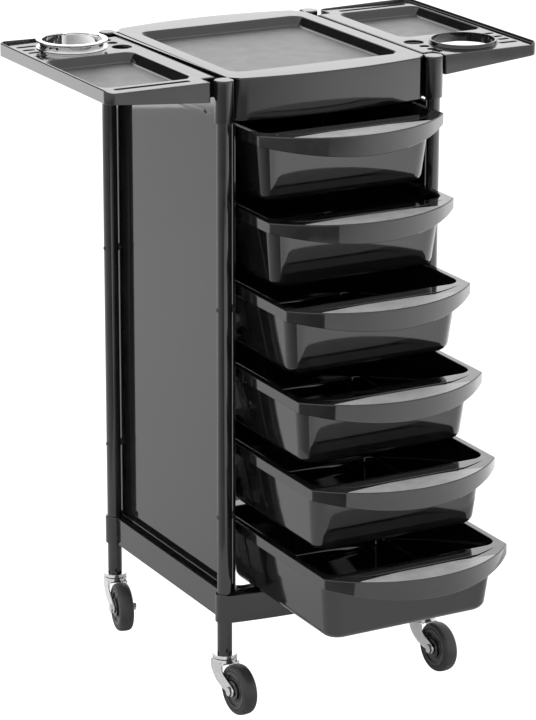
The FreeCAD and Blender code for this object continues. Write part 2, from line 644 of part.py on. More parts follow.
def hexagon(radius, thick, foot):
    """A hexagonal prism along +Y that starts at foot."""
    points = [Vector(foot.x + radius * math.cos(math.radians(60 * step)), foot.y,
                     foot.z + radius * math.sin(math.radians(60 * step))) for step in range(7)]
    return Part.Face(Part.Wire(Part.makePolygon(points))).extrude(Vector(0, thick, 0))


def build_castors():
    """Four swivel castors, each turned to its own heading."""
    trail, axle_height, gap = size("trail"), size("wheel_radius"), size("fork_gap")
    thick, axle = size("fork_thick"), size("axle_radius")
    outside = gap + thick
    fork = fork_shape()
    across, head, nut_thick = size("hexagon"), size("bolt_head"), size("nut_thick")
    bolt = Part.makeCylinder(axle, 2 * outside + nut_thick + 1, Vector(trail, -outside, axle_height),
                             ALONG_Y)
    bolt = bolt.fuse(hexagon(across, head, Vector(trail, -outside - head, axle_height)))
    nut = hexagon(across, nut_thick, Vector(trail, outside, axle_height)).cut(bolt)
    stem = pillar(0, 0, size("fork_top") - thick, size("stem_top"), size("stem_radius"))
    stem = stem.fuse(pillar(0, 0, size("fork_top"), size("raceway_top"), size("collar_radius")))
    half, radius, inner = size("tyre_width") / 2, size("wheel_radius"), size("tyre_inner")
    round_off, web, bore = size("tyre_shoulder"), size("hub_web"), size("hub_bore")
    tyre = [(inner, -half), (radius - round_off, -half), (radius - round_off / 4, -half + round_off),
            (radius, 0), (radius - round_off / 4, half - round_off), (radius - round_off, half),
            (inner, half)]
    long_half, boss, rim = size("hub_width") / 2, size("hub_boss"), inner - size("hub_rim")
    hub = [(bore, -long_half), (boss, -long_half), (boss, -web), (rim, -web), (rim, -half),
           (inner, -half), (inner, half), (rim, half), (rim, web), (boss, web), (boss, long_half),
           (bore, long_half)]
    on_axle = Placement(Vector(trail, 0, axle_height), Rotation(ALONG_X, 90))
    for corner, (side, along) in CORNERS.items():
        where = Vector(side * size("post_x"), size("centre_y") + along * size("post_y"), 0)
        turned = Placement(where, Rotation(Vector(0, 0, 1), size("heading_" + corner)))
        feature("castor_stem_" + corner, stem.copy(), turned)
        feature("castor_fork_" + corner, fork.copy(), turned)
        feature("castor_axle_" + corner, bolt.copy(), turned)
        feature("castor_nut_" + corner, nut.copy(), turned)
        turned_body("castor_tyre_" + corner, tyre, turned.multiply(on_axle))
        turned_body("castor_hub_" + corner, hub, turned.multiply(on_axle))


def build_sockets():
    """A plug in the foot of each post, with a flange under the tube and a bore for the stem."""
    sockets = []
    for corner, (side, along) in CORNERS.items():
        centre = ["%d * sizes.post_x" % side, "%d * sizes.post_y" % along]
        upright = Vector(0, 0, 1)
        name = "socket_" + corner
        plug = rod(name + "_plug", upright, "sizes.post_radius - sizes.post_wall",
                   "sizes.socket_top - sizes.socket_foot", centre + ["sizes.socket_foot"])
        flange = rod(name + "_flange", upright, "sizes.collar_radius",
                     "sizes.post_foot - sizes.socket_foot", centre + ["sizes.socket_foot"])
        bore = rod(name + "_bore", upright, "sizes.stem_radius + sizes.socket_gap",
                   "sizes.socket_top - sizes.socket_foot", centre + ["sizes.socket_foot"])
        sockets.append(cut(name, fuse(name + "_blank", [plug, flange]), [bore]))
    fuse("castor_sockets", sockets)


def screw_group(name, places, reach):
    """Domed screws that point to the middle; places are (x of the seat, y, z), reach their length."""
    radius, head, high = size("screw_radius"), size("screw_head"), size("screw_head_high")
    dome_radius = (head ** 2 + high ** 2) / (2 * high)
    screws = []
    for seat, along, level in places:
        out = Vector(math.copysign(1, seat), 0, 0)
        start = Vector(seat, along, level)
        shank = Part.makeCylinder(radius, reach, start, out * -1)
        centre = start - out * (dome_radius - high)
        ball = Part.makeSphere(dome_radius, centre)
        cap = ball.common(Part.makeCylinder(head, 2 * high, start, out))
        screws.append(shank.fuse(cap).removeSplitter())
    feature(name, Part.makeCompound(screws))


def build_screws():
    """Screws through the posts, in the tray's apron and in the hinge brackets, and the spacers."""
    face = size("post_x") + size("post_radius") - size("screw_seat")
    levels = (size("upper_screw"), size("lower_screw"))
    places = [(side * face, along * size("post_y"), level)
              for side, along in CORNERS.values() for level in levels]
    screw_group("post_screws", places, face - size("panel_outer") + size("panel_thick"))
    places = [(side * size("tray_half_width"), along * size("tray_screw_y"), size("tray_screw_z"))
              for side, along in CORNERS.values()]
    screw_group("tray_screws", places, size("tray_screw_long"))
    seat = size("tray_half_width") + size("bracket_thick")
    places = [(side * seat, along, level) for side in (-1, 1) for along, level in bracket_holes()]
    screw_group("bracket_screws", places, size("tray_screw_long"))
    spacers = []
    gap = size("post_x") - size("post_radius") - size("panel_outer") + size("screw_seat")
    for side, along in CORNERS.values():
        for level in levels:
            start = Vector(side * size("panel_outer"), along * size("post_y"), level)
            ring = Part.makeCylinder(size("spacer_radius"), gap + 1, start, Vector(side, 0, 0))
            ring = ring.cut(Part.makeCylinder(size("screw_radius"), gap + 1, start, Vector(side, 0, 0)))
            tube = pillar(side * size("post_x"), along * size("post_y"),
                          level - size("post_radius"), level + size("post_radius"),
                          size("post_radius"))
            spacers.append(ring.cut(tube))
    feature("post_spacers", Part.makeCompound(spacers))


NODES = ["base_frame", "top_tray", "castor_sockets", "post_screws", "tray_screws", "bracket_screws",
         "post_spacers", "dryer_ring", "holder_collar"]
NODES += ["post_" + corner for corner in CORNERS]
NODES += [kind + side for kind in ("side_panel_", "runner_uprights_", "runner_ledges_",
                                   "side_tray_", "hinge_pins_") for side in SIDES]
NODES += ["hinge_bracket_%s_%s" % (end, side) for end in ("front", "rear") for side in SIDES]
NODES += ["drawer_%d" % number for number in range(1, 7)]
NODES += ["castor_%s_%s" % (kind, corner) for corner in CORNERS
          for kind in ("stem", "fork", "axle", "nut", "tyre", "hub")]


def check_and_export():
    """Stop on any failed object, then write each sub-part's shape to its own file."""
    doc.recompute()
    for item in doc.Objects:
        if "Invalid" in item.State or "Error" in item.State:
            raise RuntimeError("%s did not rebuild: %s" % (item.Name, item.State))
    os.makedirs("parts", exist_ok=True)
    for name in NODES:
        item = doc.getObject(name)
        item.Label = name
        if item.Shape.isNull() or not item.Shape.isValid() or not item.Shape.Solids:
            raise RuntimeError("%s has no sound shape" % name)
    for name in NODES:
        doc.getObject(name).Shape.exportStep("parts/%s.step" % name)


fill_sheet()
build_posts()
build_base_frame()
build_side_panels()
build_runners()
build_top_tray()
build_hinges()
build_side_trays()
build_holder_rings()
build_drawers()
build_castors()
build_sockets()
build_screws()
check_and_export()
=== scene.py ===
"""The looks of the rolling salon trolley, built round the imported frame.

Lengths are drawn in millimetres in the frame's own axes and turned to metres as each mesh is made.
The trolley faces -Y and stands on z = 0.
"""
import math

import bmesh
import bpy
from mathutils import Matrix, Vector


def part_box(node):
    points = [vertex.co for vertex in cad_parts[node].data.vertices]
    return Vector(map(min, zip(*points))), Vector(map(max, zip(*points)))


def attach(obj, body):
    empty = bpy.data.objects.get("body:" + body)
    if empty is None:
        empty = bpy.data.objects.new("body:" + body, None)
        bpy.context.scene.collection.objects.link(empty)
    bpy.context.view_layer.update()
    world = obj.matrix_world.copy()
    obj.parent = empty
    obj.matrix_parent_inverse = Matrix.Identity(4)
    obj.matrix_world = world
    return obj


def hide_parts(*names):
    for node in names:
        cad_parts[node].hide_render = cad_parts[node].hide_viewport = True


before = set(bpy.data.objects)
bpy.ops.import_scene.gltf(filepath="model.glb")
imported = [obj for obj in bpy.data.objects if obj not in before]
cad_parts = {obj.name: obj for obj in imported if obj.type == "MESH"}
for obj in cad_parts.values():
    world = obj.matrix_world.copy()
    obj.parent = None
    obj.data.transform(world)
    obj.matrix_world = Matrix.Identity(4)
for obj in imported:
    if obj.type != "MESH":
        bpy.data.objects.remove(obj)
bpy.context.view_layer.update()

MM = 0.001
CORNERS = {"front_left": (-1, -1), "front_right": (1, -1), "rear_left": (-1, 1), "rear_right": (1, 1)}
SIDES = {"left": -1, "right": 1}


def limits(node):
    """A CAD node's lowest and highest corners in millimetres."""
    low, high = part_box(node)
    return Vector(low) / MM, Vector(high) / MM


def middle(node):
    """The middle of a CAD node's box in millimetres."""
    low, high = limits(node)
    return (low + high) / 2


POST_MIDDLES = {corner: middle("post_" + corner) for corner in CORNERS}
CENTRE_Y = (POST_MIDDLES["front_left"].y + POST_MIDDLES["rear_left"].y) / 2
POST_X = POST_MIDDLES["front_right"].x
POST_Y = POST_MIDDLES["rear_left"].y - CENTRE_Y


# ---------------------------------------------------------------- outlines


def arc(centre, radius, start, end, steps):
    """Points on a circle from one angle to another, in degrees."""
    turns = [math.radians(start + (end - start) * step / steps) for step in range(steps + 1)]
    return [(centre[0] + radius * math.cos(turn), centre[1] + radius * math.sin(turn)) for turn in turns]


def rounded(corners, steps=6):
    """A closed outline through corners (x, y, radius), each rounded by its radius."""
    outline = []
    for index, (along, up, radius) in enumerate(corners):
        if not radius:
            outline.append((along, up))
            continue
        corner = Vector((along, up))
        back = (Vector(corners[index - 1][:2]) - corner).normalized()
        ahead = (Vector(corners[(index + 1) % len(corners)][:2]) - corner).normalized()
        half = back.angle(ahead) / 2
        centre = corner + (back + ahead).normalized() * radius / math.sin(half)
        start = corner + back * radius / math.tan(half) - centre
        end = corner + ahead * radius / math.tan(half) - centre
        first = math.degrees(math.atan2(start.y, start.x))
        last = math.degrees(math.atan2(end.y, end.x))
        swing = (last - first + 180) % 360 - 180
        outline += arc(centre, radius, first, first + swing, steps)
    return outline


def rectangle(low_x, high_x, low_y, high_y, radius, steps=6):
    """A rectangle with round corners, anticlockwise from its front left corner."""
    return rounded([(low_x, low_y, radius), (high_x, low_y, radius),
                    (high_x, high_y, radius), (low_x, high_y, radius)], steps)


def inset(outline, distance):
    """An anticlockwise outline moved inwards by a distance."""
    moved = []
    for index, point in enumerate(outline):
        here = Vector(point)
        before = (here - Vector(outline[index - 1])).normalized()
        after = (Vector(outline[(index + 1) % len(outline)]) - here).normalized()
        first, second = Vector((-before.y, before.x)), Vector((-after.y, after.x))
        mean = (first + second).normalized()
        spread = max(mean.dot(first), 0.5)
        moved.append(tuple(here + mean * distance / spread))
    return moved


def bowed(half, end, bow, along):
    """How far the middle of a bowed edge stands from the centre at one X."""
    radius = (half ** 2 + bow ** 2) / (2 * bow)
    return end + bow - radius + math.sqrt(radius ** 2 - along ** 2)


def lobed_outline(half, front, front_bow, rear, rear_bow, lobe, steps=24):
    """A body with straight sides and bowed ends, joined to a round lobe at each post."""
    def in_body(x, y):
        return (abs(x) < half and y > -bowed(half, front, front_bow, min(abs(x), half))
                and y < bowed(half, rear, rear_bow, min(abs(x), half)))

    def in_lobe(x, y):
        return math.hypot(abs(x) - POST_X, abs(y) - POST_Y) < lobe

    spans = [half * (2 * step / steps - 1) for step in range(steps + 1)]
    front_edge = [(x, -bowed(half, front, front_bow, abs(x))) for x in spans]
    rear_edge = [(x, bowed(half, rear, rear_bow, abs(x))) for x in reversed(spans)]
    turn_from = {"front_left": 45, "front_right": 135, "rear_right": 225, "rear_left": 315}
    lobes = {}
    for corner, start in turn_from.items():
        side, end = CORNERS[corner]
        circle = arc((side * POST_X, end * POST_Y), lobe, start, start + 355, 71)
        lobes[corner] = [point for point in circle if not in_body(*point)]
    outline = [point for point in front_edge if not in_lobe(*point)] + lobes["front_right"]
    outline += lobes["rear_right"] + [point for point in rear_edge if not in_lobe(*point)]
    outline += lobes["rear_left"] + lobes["front_left"]
    return outline


# ---------------------------------------------------------------- mesh tools


def ring(mesh, outline, height, place=None):
    """A loop of vertices; height is a number or a function of x and y; place moves each point."""
    verts = []
    for x, y in outline:
        point = Vector((x, y, height(x, y) if callable(height) else height))
        verts.append(mesh.verts.new((place @ point if place else point) * MM))
    return verts


def wall(mesh, lower, upper):
    """Quads between two rings with the same number of points."""
    count = len(lower)
    for index in range(count):
        following = (index + 1) % count
        mesh.faces.new((lower[index], lower[following], upper[following], upper[index]))


def sweep(mesh, outline, profile, place=None, closed=False):
    """Rings of one outline joined by walls, each (inset, height) of the profile making a ring."""
    rings = [ring(mesh, inset(outline, distance) if distance else outline, height, place)
             for distance, height in profile]
    for lower, upper in zip(rings, rings[1:]):
        wall(mesh, lower, upper)
    if closed:
        wall(mesh, rings[-1], rings[0])
    return rings


def cap(mesh, *rings):
    """Fill the flat region inside the first ring and outside the others."""
    edges = []
    for loop in rings:
        for first, second in zip(loop, loop[1:] + loop[:1]):
            edges.append(mesh.edges.get((first, second)) or mesh.edges.new((first, second)))
    bmesh.ops.triangle_fill(mesh, edges=edges, use_beauty=True, use_dissolve=False)


def edge_round(radius, height, steps=3, rise=1):
    """Profile points of a rounded edge that ends flat at height; rise 1 is a top edge, -1 a bottom."""
    turns = [math.pi / 2 * step / steps for step in range(steps + 1)]
    points = [(radius * (1 - math.cos(turn)), height - rise * radius * (1 - math.sin(turn)))
              for turn in turns]
    return points if rise > 0 else points[::-1]


def slab(mesh, outline, low, high, edge=0.4, holes=(), place=None):
    """A flat plate with rounded edges; holes are outlines too."""
    outer = sweep(mesh, outline, edge_round(edge, low, rise=-1) + edge_round(edge, high), place)
    tops, bottoms = [outer[-1]], [outer[0]]
    for hole in holes:
        inner = sweep(mesh, hole, [(-edge, low), (0, low + edge), (0, high - edge), (-edge, high)], place)
        bottoms.append(inner[0])
        tops.append(inner[-1])
    cap(mesh, *bottoms)
    cap(mesh, *tops)


def lathe(mesh, profile, place=None, steps=64, closed=True):
    """A turned shape about the Z axis of place, from (radius, height) points."""
    turns = [2 * math.pi * step / steps for step in range(steps)]
    rings = []
    for radius, height in profile:
        circle = [(radius * math.cos(turn), radius * math.sin(turn)) for turn in turns]
        rings.append(ring(mesh, circle, height, place))
    for lower, upper in zip(rings, rings[1:]):
        wall(mesh, lower, upper)
    if closed:
        wall(mesh, rings[-1], rings[0])
    return rings


def circle_outline(x, y, radius, steps=32):
    """A closed circle, anticlockwise."""
    return arc((x, y), radius, 0, 360 - 360 / steps, steps - 1)


def even_normals(item):
    """Let the broad faces keep their own normals, so small edge rounds don't bend their reflections."""
    item.modifiers.new("even", "WEIGHTED_NORMAL").keep_sharp = True
    graph = bpy.context.evaluated_depsgraph_get()
    name, plain = item.data.name, item.data
    evened = bpy.data.meshes.new_from_object(item.evaluated_get(graph))
    item.modifiers.clear()
    item.data = evened
    bpy.data.meshes.remove(plain)
    evened.name = name


def piece(name, mesh, body, look, replaced=(), sharp=32):
    """Make an object from the mesh, shade it smooth up to a sharp angle, and tie it to the frame."""
    bmesh.ops.remove_doubles(mesh, verts=mesh.verts, dist=1e-7)
    bmesh.ops.recalc_face_normals(mesh, faces=mesh.faces)
    data = bpy.data.meshes.new(name)
    mesh.to_mesh(data)
    mesh.free()
    data.polygons.foreach_set("use_smooth", [True] * len(data.polygons))
    data.set_sharp_from_angle(angle=math.radians(sharp))
    item = bpy.data.objects.new(name, data)
    bpy.context.scene.collection.objects.link(item)
    for material in look if isinstance(look, (list, tuple)) else [look]:
        data.materials.append(material)
    even_normals(item)
    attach(item, body)
    if replaced:
        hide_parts(*replaced)
    return item


# ---------------------------------------------------------------- materials


def new_material(name):
    """An empty node material with its shader and its object coordinates."""
    material = bpy.data.materials.new(name)
    material.use_nodes = True
    nodes, links = material.node_tree.nodes, material.node_tree.links
    shader = nodes["Principled BSDF"]
    place = nodes.new("ShaderNodeTexCoord")
    return material, nodes, links, shader, place.outputs["Object"]


def noise(nodes, links, coordinates, scale, detail=2.0, roughness=0.5):
    """A noise texture's value."""
    texture = nodes.new("ShaderNodeTexNoise")
    texture.inputs["Scale"].default_value = scale
    texture.inputs["Detail"].default_value = detail
    texture.inputs["Roughness"].default_value = roughness
    links.new(coordinates, texture.inputs["Vector"])
    return texture.outputs["Fac"]


def spread(nodes, links, value, low, high):
    """A value between 0 and 1 mapped to a range."""
    mapper = nodes.new("ShaderNodeMapRange")
    mapper.inputs["From Min"].default_value = 0.3
    mapper.inputs["From Max"].default_value = 0.7
    mapper.inputs["To Min"].default_value = low
    mapper.inputs["To Max"].default_value = high
    links.new(value, mapper.inputs["Value"])
    return mapper.outputs["Result"]


def bumps(nodes, links, shader, layers):
    """Chain bump layers of (height value, strength, distance) into the shader's normal."""
    normal = None
    for height, strength, distance in layers:
        bump = nodes.new("ShaderNodeBump")
        bump.inputs["Strength"].default_value = strength
        bump.inputs["Distance"].default_value = distance
        links.new(height, bump.inputs["Height"])
        if normal:
            links.new(normal, bump.inputs["Normal"])
        normal = bump.outputs["Normal"]
    links.new(normal, shader.inputs["Normal"])


def tint(nodes, links, shader, value, dark, light):
    """Base colour between two greys, or two colours, by a value."""
    ramp = nodes.new("ShaderNodeValToRGB")
    ramp.color_ramp.elements[0].position, ramp.color_ramp.elements[1].position = 0.35, 0.65
    ramp.color_ramp.elements[0].color = (*dark, 1)
    ramp.color_ramp.elements[1].color = (*light, 1)
    links.new(value, ramp.inputs["Fac"])
    links.new(ramp.outputs["Color"], shader.inputs["Base Color"])


GLOSS_IOR = 1.6


def gloss_plastic(name, rough, wave, grain=0.0, colour=0.006, uneven=0.3):
    """Glossy black moulded plastic: a slow sink-mark wave, a little dust in the gloss, fine grain."""
    material, nodes, links, shader, place = new_material(name)
    slow = noise(nodes, links, place, 14, 1)
    haze = noise(nodes, links, place, 45, 5, 0.6)
    tint(nodes, links, shader, haze, (colour * (1 - uneven),) * 3, (colour * (1 + uneven),) * 3)
    links.new(spread(nodes, links, haze, rough * (1 - uneven), rough * (1 + uneven)),
              shader.inputs["Roughness"])
    layers = [(slow, wave, 0.002)]
    if grain:
        layers.append((noise(nodes, links, place, 2600, 3, 0.7), grain, 0.00025))
    bumps(nodes, links, shader, layers)
    shader.inputs["IOR"].default_value = GLOSS_IOR
    return material


def metal(name, colour, rough, grain_scale, grain, stretch=(1, 1, 1)):
    """Bright metal with fine drawn or plated grain and a slight change of tone."""
    material, nodes, links, shader, place = new_material(name)
    mapping = nodes.new("ShaderNodeMapping")
    mapping.inputs["Scale"].default_value = stretch
    links.new(place, mapping.inputs["Vector"])
    fine = noise(nodes, links, mapping.outputs["Vector"], grain_scale, 4, 0.6)
    cloud = noise(nodes, links, place, 60, 3)
    tint(nodes, links, shader, cloud, tuple(c * 0.9 for c in colour), colour)
    links.new(spread(nodes, links, fine, rough * 0.7, rough * 1.4), shader.inputs["Roughness"])
    bumps(nodes, links, shader, [(fine, grain, 0.0002)])
    shader.inputs["Metallic"].default_value = 1
    return material


def rubber(name):
    """Black tread rubber: matt, with a fine speckle and slight bloom."""
    material, nodes, links, shader, place = new_material(name)
    speckle = noise(nodes, links, place, 900, 4, 0.6)
    bloom = noise(nodes, links, place, 35, 3)
    tint(nodes, links, shader, bloom, (0.012, 0.012, 0.012), (0.026, 0.026, 0.027))
    links.new(spread(nodes, links, speckle, 0.42, 0.62), shader.inputs["Roughness"])
    bumps(nodes, links, shader, [(speckle, 0.25, 0.0003)])
    return material


BLACK = gloss_plastic("black_moulding_gloss", 0.07, 0.10)
BASIN = gloss_plastic("black_moulding_grained_floor", 0.34, 0.02, grain=0.3, colour=0.025, uneven=0.12)
DRAWER = gloss_plastic("drawer_gloss", 0.06, 0.06)
# The handle land's light grey crescent is a painted highlight: its pale base colour stands in for light
# caught on the handle tops.
LAND_PAINTED_HIGHLIGHT = gloss_plastic("handle_land_painted_highlight", 0.4, 0.02, grain=0.2, colour=0.4, uneven=0.1)
PANEL = gloss_plastic("panel_gloss", 0.035, 0.02)
TUBE = gloss_plastic("tube_black_gloss", 0.09, 0.03, colour=0.008)
RUNNER = gloss_plastic("runner_black_paint", 0.3, 0.02, grain=0.2, colour=0.012)
HUB = gloss_plastic("hub_black_plastic", 0.3, 0.05, grain=0.2, colour=0.012)
SPACER = gloss_plastic("spacer_nylon", 0.45, 0.02, grain=0.2, colour=0.01)
CHROME = metal("ring_chrome", (0.86, 0.86, 0.87), 0.06, 500, 0.03)
ZINC = metal("castor_zinc", (0.78, 0.78, 0.79), 0.2, 700, 0.12)
STEEL = metal("hinge_steel", (0.55, 0.55, 0.56), 0.28, 600, 0.15, (1, 1, 6))
SCREW = gloss_plastic("screw_black_paint", 0.3, 0.02, grain=0.2, colour=0.008)
RUBBER = rubber("tyre_rubber")


def dress(prefix, material):
    """Give carried-over CAD nodes a material."""
    for name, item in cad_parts.items():
        if name.startswith(prefix):
            for slot in item.material_slots:
                slot.material = material


for prefix, material in (("side_panel", PANEL), ("runner_", RUNNER), ("hinge_", STEEL),
                         ("castor_sockets", ZINC), ("castor_stem", ZINC), ("castor_axle", ZINC),
                         ("castor_nut", ZINC), ("bracket_screws", SCREW), ("post_spacers", SPACER)):
    dress(prefix, material)


# ---------------------------------------------------------------- top tray

TRAY_TOP = limits("top_tray")[1].z
APRON_FOOT = 823
TRAY_HALF, TRAY_FRONT, TRAY_FRONT_BOW, TRAY_REAR, TRAY_REAR_BOW, TRAY_LOBE = 149, 173, 17, 180, 20, 13.2
RIM_HALF, LEDGE_HALF, LEDGE_END, LEDGE_LOW, LEDGE_HIGH = 147, 152, 154, 869.5, 874.5
STRIP_LOW, STRIP_HIGH = 815, 828
TOP_BASIN_HALF, TOP_BASIN_FRONT, TOP_BASIN_REAR, TOP_BASIN_CORNER = 127, 139, 145, 16
BASIN_DEEP, BASIN_SLOPE, TRAY_WALL = 12, 8, 3


def shifted(outline, along=0.0, up=CENTRE_Y):
    """The outline moved from the middle of the posts to its place in the frame."""
    return [(x + along, y + up) for x, y in outline]


def basin_rings(mesh, low_x, high_x, low_y, high_y, top, corner):
    """A sunken basin with rounded lip and floor; returns its top ring, and its ring underneath."""
    outline = rectangle(low_x, high_x, low_y, high_y, corner, 8)
    floor = top - BASIN_DEEP
    lip, foot_round = 1.6, 3.0
    profile = [(-lip, top)] + [(lip * math.sin(turn) - lip, top - lip * (1 - math.cos(turn)))
                               for turn in (0.5, 1.05)]
    profile += [(1.2, top - lip - 0.4), (BASIN_SLOPE - 1.2, floor + foot_round - 1.2),
                (BASIN_SLOPE - 0.2, floor + 0.9), (BASIN_SLOPE + 1.6, floor + 0.1)]
    rings = sweep(mesh, outline, profile + [(BASIN_SLOPE + 3, floor)])
    before = len(mesh.faces)
    cap(mesh, rings[-1])
    mesh.faces.ensure_lookup_table()
    for face in mesh.faces[before:]:
        face.material_index = 1
    under = sweep(mesh, outline, [(-TRAY_WALL, top - TRAY_WALL),
                                  (BASIN_SLOPE - TRAY_WALL, floor - TRAY_WALL)])
    cap(mesh, under[-1])
    return rings[0], under[0]


def make_top_tray():
    """Lobed and bowed moulding with a grained basin floor, hollow underneath."""
    mesh = bmesh.new()
    outline = shifted(lobed_outline(TRAY_HALF, TRAY_FRONT, TRAY_FRONT_BOW, TRAY_REAR, TRAY_REAR_BOW,
                                    TRAY_LOBE))
    outer = sweep(mesh, outline, edge_round(0.6, APRON_FOOT, 2, -1) + edge_round(1.8, TRAY_TOP, 4))
    inner = sweep(mesh, outline, [(TRAY_WALL - 0.6, APRON_FOOT), (TRAY_WALL, APRON_FOOT + 0.6),
                                  (TRAY_WALL, TRAY_TOP - TRAY_WALL)])
    wall(mesh, inner[0], outer[0])
    top, under = basin_rings(mesh, -TOP_BASIN_HALF, TOP_BASIN_HALF, CENTRE_Y - TOP_BASIN_FRONT,
                             CENTRE_Y + TOP_BASIN_REAR, TRAY_TOP, TOP_BASIN_CORNER)
    cap(mesh, outer[-1], top)
    cap(mesh, inner[-1], under)
    for side in (-1, 1):
        for inner_x, outer_x, low, high, edge in (
                (RIM_HALF - 1, LEDGE_HALF, LEDGE_LOW, LEDGE_HIGH, 0.8),
                (RIM_HALF + 0.05, TRAY_HALF + 0.15, STRIP_LOW, STRIP_HIGH, 0.6)):
            near, far = sorted((side * inner_x, side * outer_x))
            bar = rectangle(near, far, CENTRE_Y - LEDGE_END, CENTRE_Y + LEDGE_END, 0.8, 2)
            slab(mesh, bar, low, high, edge)
    piece("top_tray_moulding", mesh, "frame", [BLACK, BASIN], ["top_tray"])


# ---------------------------------------------------------------- side trays

FLAP_TOP = limits("side_tray_right")[1].z - 4
FLAP_OUTER = limits("side_tray_right")[1].x
FLAP_INNER, FLAP_END, FLAP_CORNER = 178, 172, 12
TONGUE_INNER, TONGUE_END = 158, 145
LIP_HIGH, LIP_WIDE = 4, 2.8
FOOT_INNER, FOOT_LOW, FOOT_RISE = 184, 851.2, 12.6
HOLDER_X, HOLDER_Y, HOLDER_RADIUS = 243.5, 111.5, 46.05
HOLE_X, TOOL_HOLE_Y, TOOL_HOLE, SMALL_HOLE_Y, SMALL_HOLE = 183.5, 80, 13.8, 109, 7
DOUBLE_HOLE_Y, DOUBLE_HOLE_GAP = 136, 6.5
SLOT_END, SLOT_HALF, SLOT_CORNER = 313, 3.75, 3.5
SLOTS = ((139.5, 28.5), (119, 17), (101, 17), (79, 17))
CHANNEL_NEAR, CHANNEL_FAR, CHANNEL_Y, CHANNEL_HALF = 198, 307, 150, 4
FLAP_BASIN_NEAR, FLAP_BASIN_FAR, FLAP_BASIN_CORNER = 186, 316, 14
FLAP_BASIN_TO_MIDDLE, FLAP_BASIN_TO_END = 47, 136
HINGE_X, HINGE_Z, HINGE_YS = 178, 853, (-48, 48)
EYE_RADIUS, PIN_RADIUS, HALF_WEB, EAR_THICK = 6, 3, 3, 4


def lip_share(x, y):
    """How much of the lip's height stands at a point of the edge: outer and rear edges only."""
    if abs(x) > FLAP_OUTER - FLAP_CORNER:
        return min(max((y - CENTRE_Y + FLAP_END - 1) / FLAP_CORNER, 0), 1)
    if y - CENTRE_Y > FLAP_END - FLAP_CORNER:
        return min(max((abs(x) - FLAP_INNER - 1) / 5, 0), 1)
    return 0


def flap_foot(x, _):
    """The underside rises towards the outer edge."""
    share = min(max((abs(x) - FOOT_INNER) / (FLAP_OUTER - FOOT_INNER), 0), 1)
    return FOOT_LOW + FOOT_RISE * share


def figure_eight(x, y, radius, half_gap):
    """Two overlapping circles one behind the other, as one anticlockwise outline."""
    open_angle = math.degrees(math.acos(half_gap / radius))
    rear = arc((x, y + half_gap), radius, open_angle - 90, 270 - open_angle, 20)
    front = arc((x, y - half_gap), radius, open_angle + 90, 450 - open_angle, 20)
    return rear + front


def flap_holes(side, basin_end):
    """Outlines of every opening through a side tray's platform."""
    end = -basin_end
    holes = [circle_outline(side * HOLDER_X, end * HOLDER_Y, HOLDER_RADIUS, 64),
             circle_outline(side * HOLE_X, end * TOOL_HOLE_Y, TOOL_HOLE),
             circle_outline(side * HOLE_X, end * SMALL_HOLE_Y, SMALL_HOLE, 24),
             figure_eight(side * HOLE_X, end * DOUBLE_HOLE_Y, SMALL_HOLE, DOUBLE_HOLE_GAP)]
    for along, length in SLOTS:
        near, far = sorted((side * (SLOT_END - length), side * SLOT_END))
        holes.append(rectangle(near, far, end * along - SLOT_HALF, end * along + SLOT_HALF, SLOT_CORNER, 5))
    return [shifted(hole) for hole in holes]


def flap_outline(side):
    """A side tray from above: a broad platform with a tongue towards the trolley."""
    corners = [(TONGUE_INNER, -TONGUE_END, 3), (FLAP_INNER, -TONGUE_END, 2),
               (FLAP_INNER, -FLAP_END, 3), (FLAP_OUTER, -FLAP_END, FLAP_CORNER),
               (FLAP_OUTER, FLAP_END, FLAP_CORNER), (FLAP_INNER, FLAP_END, 3),
               (FLAP_INNER, TONGUE_END, 2), (TONGUE_INNER, TONGUE_END, 3)]
    if side < 0:
        corners = [(-x, y, radius) for x, y, radius in reversed(corners)]
    return shifted(rounded(corners))


def make_side_tray(side_name, basin_end):
    """One folding tray: lipped platform, basin, holder opening, holes and slots, hollow underneath."""
    side = SIDES[side_name]
    mesh = bmesh.new()
    outline = flap_outline(side)
    top = FLAP_TOP

    def lifted(height):
        return lambda x, y: height + LIP_HIGH * lip_share(x, y)

    edge = [(distance, lifted(height)) for distance, height in edge_round(1.3, top, 3)]
    inner_edge = [(LIP_WIDE - 0.9, lifted(top)), (LIP_WIDE - 0.3, lifted(top - 0.3)),
                  (LIP_WIDE, lambda x, y: top + 0.6 * lip_share(x, y)), (LIP_WIDE + 0.7, top)]
    outer = sweep(mesh, outline, [(0.5, flap_foot), (0, lambda x, y: flap_foot(x, y) + 0.5)] + edge
                  + inner_edge)
    inner = sweep(mesh, outline, [(TRAY_WALL - 0.5, flap_foot), (TRAY_WALL, top - TRAY_WALL)])
    wall(mesh, inner[0], outer[0])
    tops, unders = [outer[-1]], [inner[-1]]
    for hole in flap_holes(side, basin_end):
        rings = sweep(mesh, hole, [(-0.8, top), (-0.25, top - 0.25), (0, top - 0.8), (0, top - TRAY_WALL)])
        tops.append(rings[0])
        unders.append(rings[-1])
    near, far = sorted((side * CHANNEL_NEAR, side * CHANNEL_FAR))
    middle_y = CENTRE_Y + basin_end * CHANNEL_Y
    channel = rectangle(near, far, middle_y - CHANNEL_HALF, middle_y + CHANNEL_HALF, 3, 4)
    rings = sweep(mesh, channel, [(-0.5, top), (0, top - 0.5), (0.2, top - 1.8)])
    cap(mesh, rings[-1])
    tops.append(rings[0])
    near, far = sorted((side * FLAP_BASIN_NEAR, side * FLAP_BASIN_FAR))
    low_y, high_y = sorted((-basin_end * FLAP_BASIN_TO_MIDDLE, basin_end * FLAP_BASIN_TO_END))
    lip, under = basin_rings(mesh, near, far, CENTRE_Y + low_y, CENTRE_Y + high_y, top, FLAP_BASIN_CORNER)
    cap(mesh, *tops, lip)
    cap(mesh, *unders, under)
    add_hinge_ears(mesh, side, top - TRAY_WALL)
    piece("side_tray_moulding_" + side_name, mesh, side_name + "_flap", [BLACK, BASIN],
          ["side_tray_" + side_name])


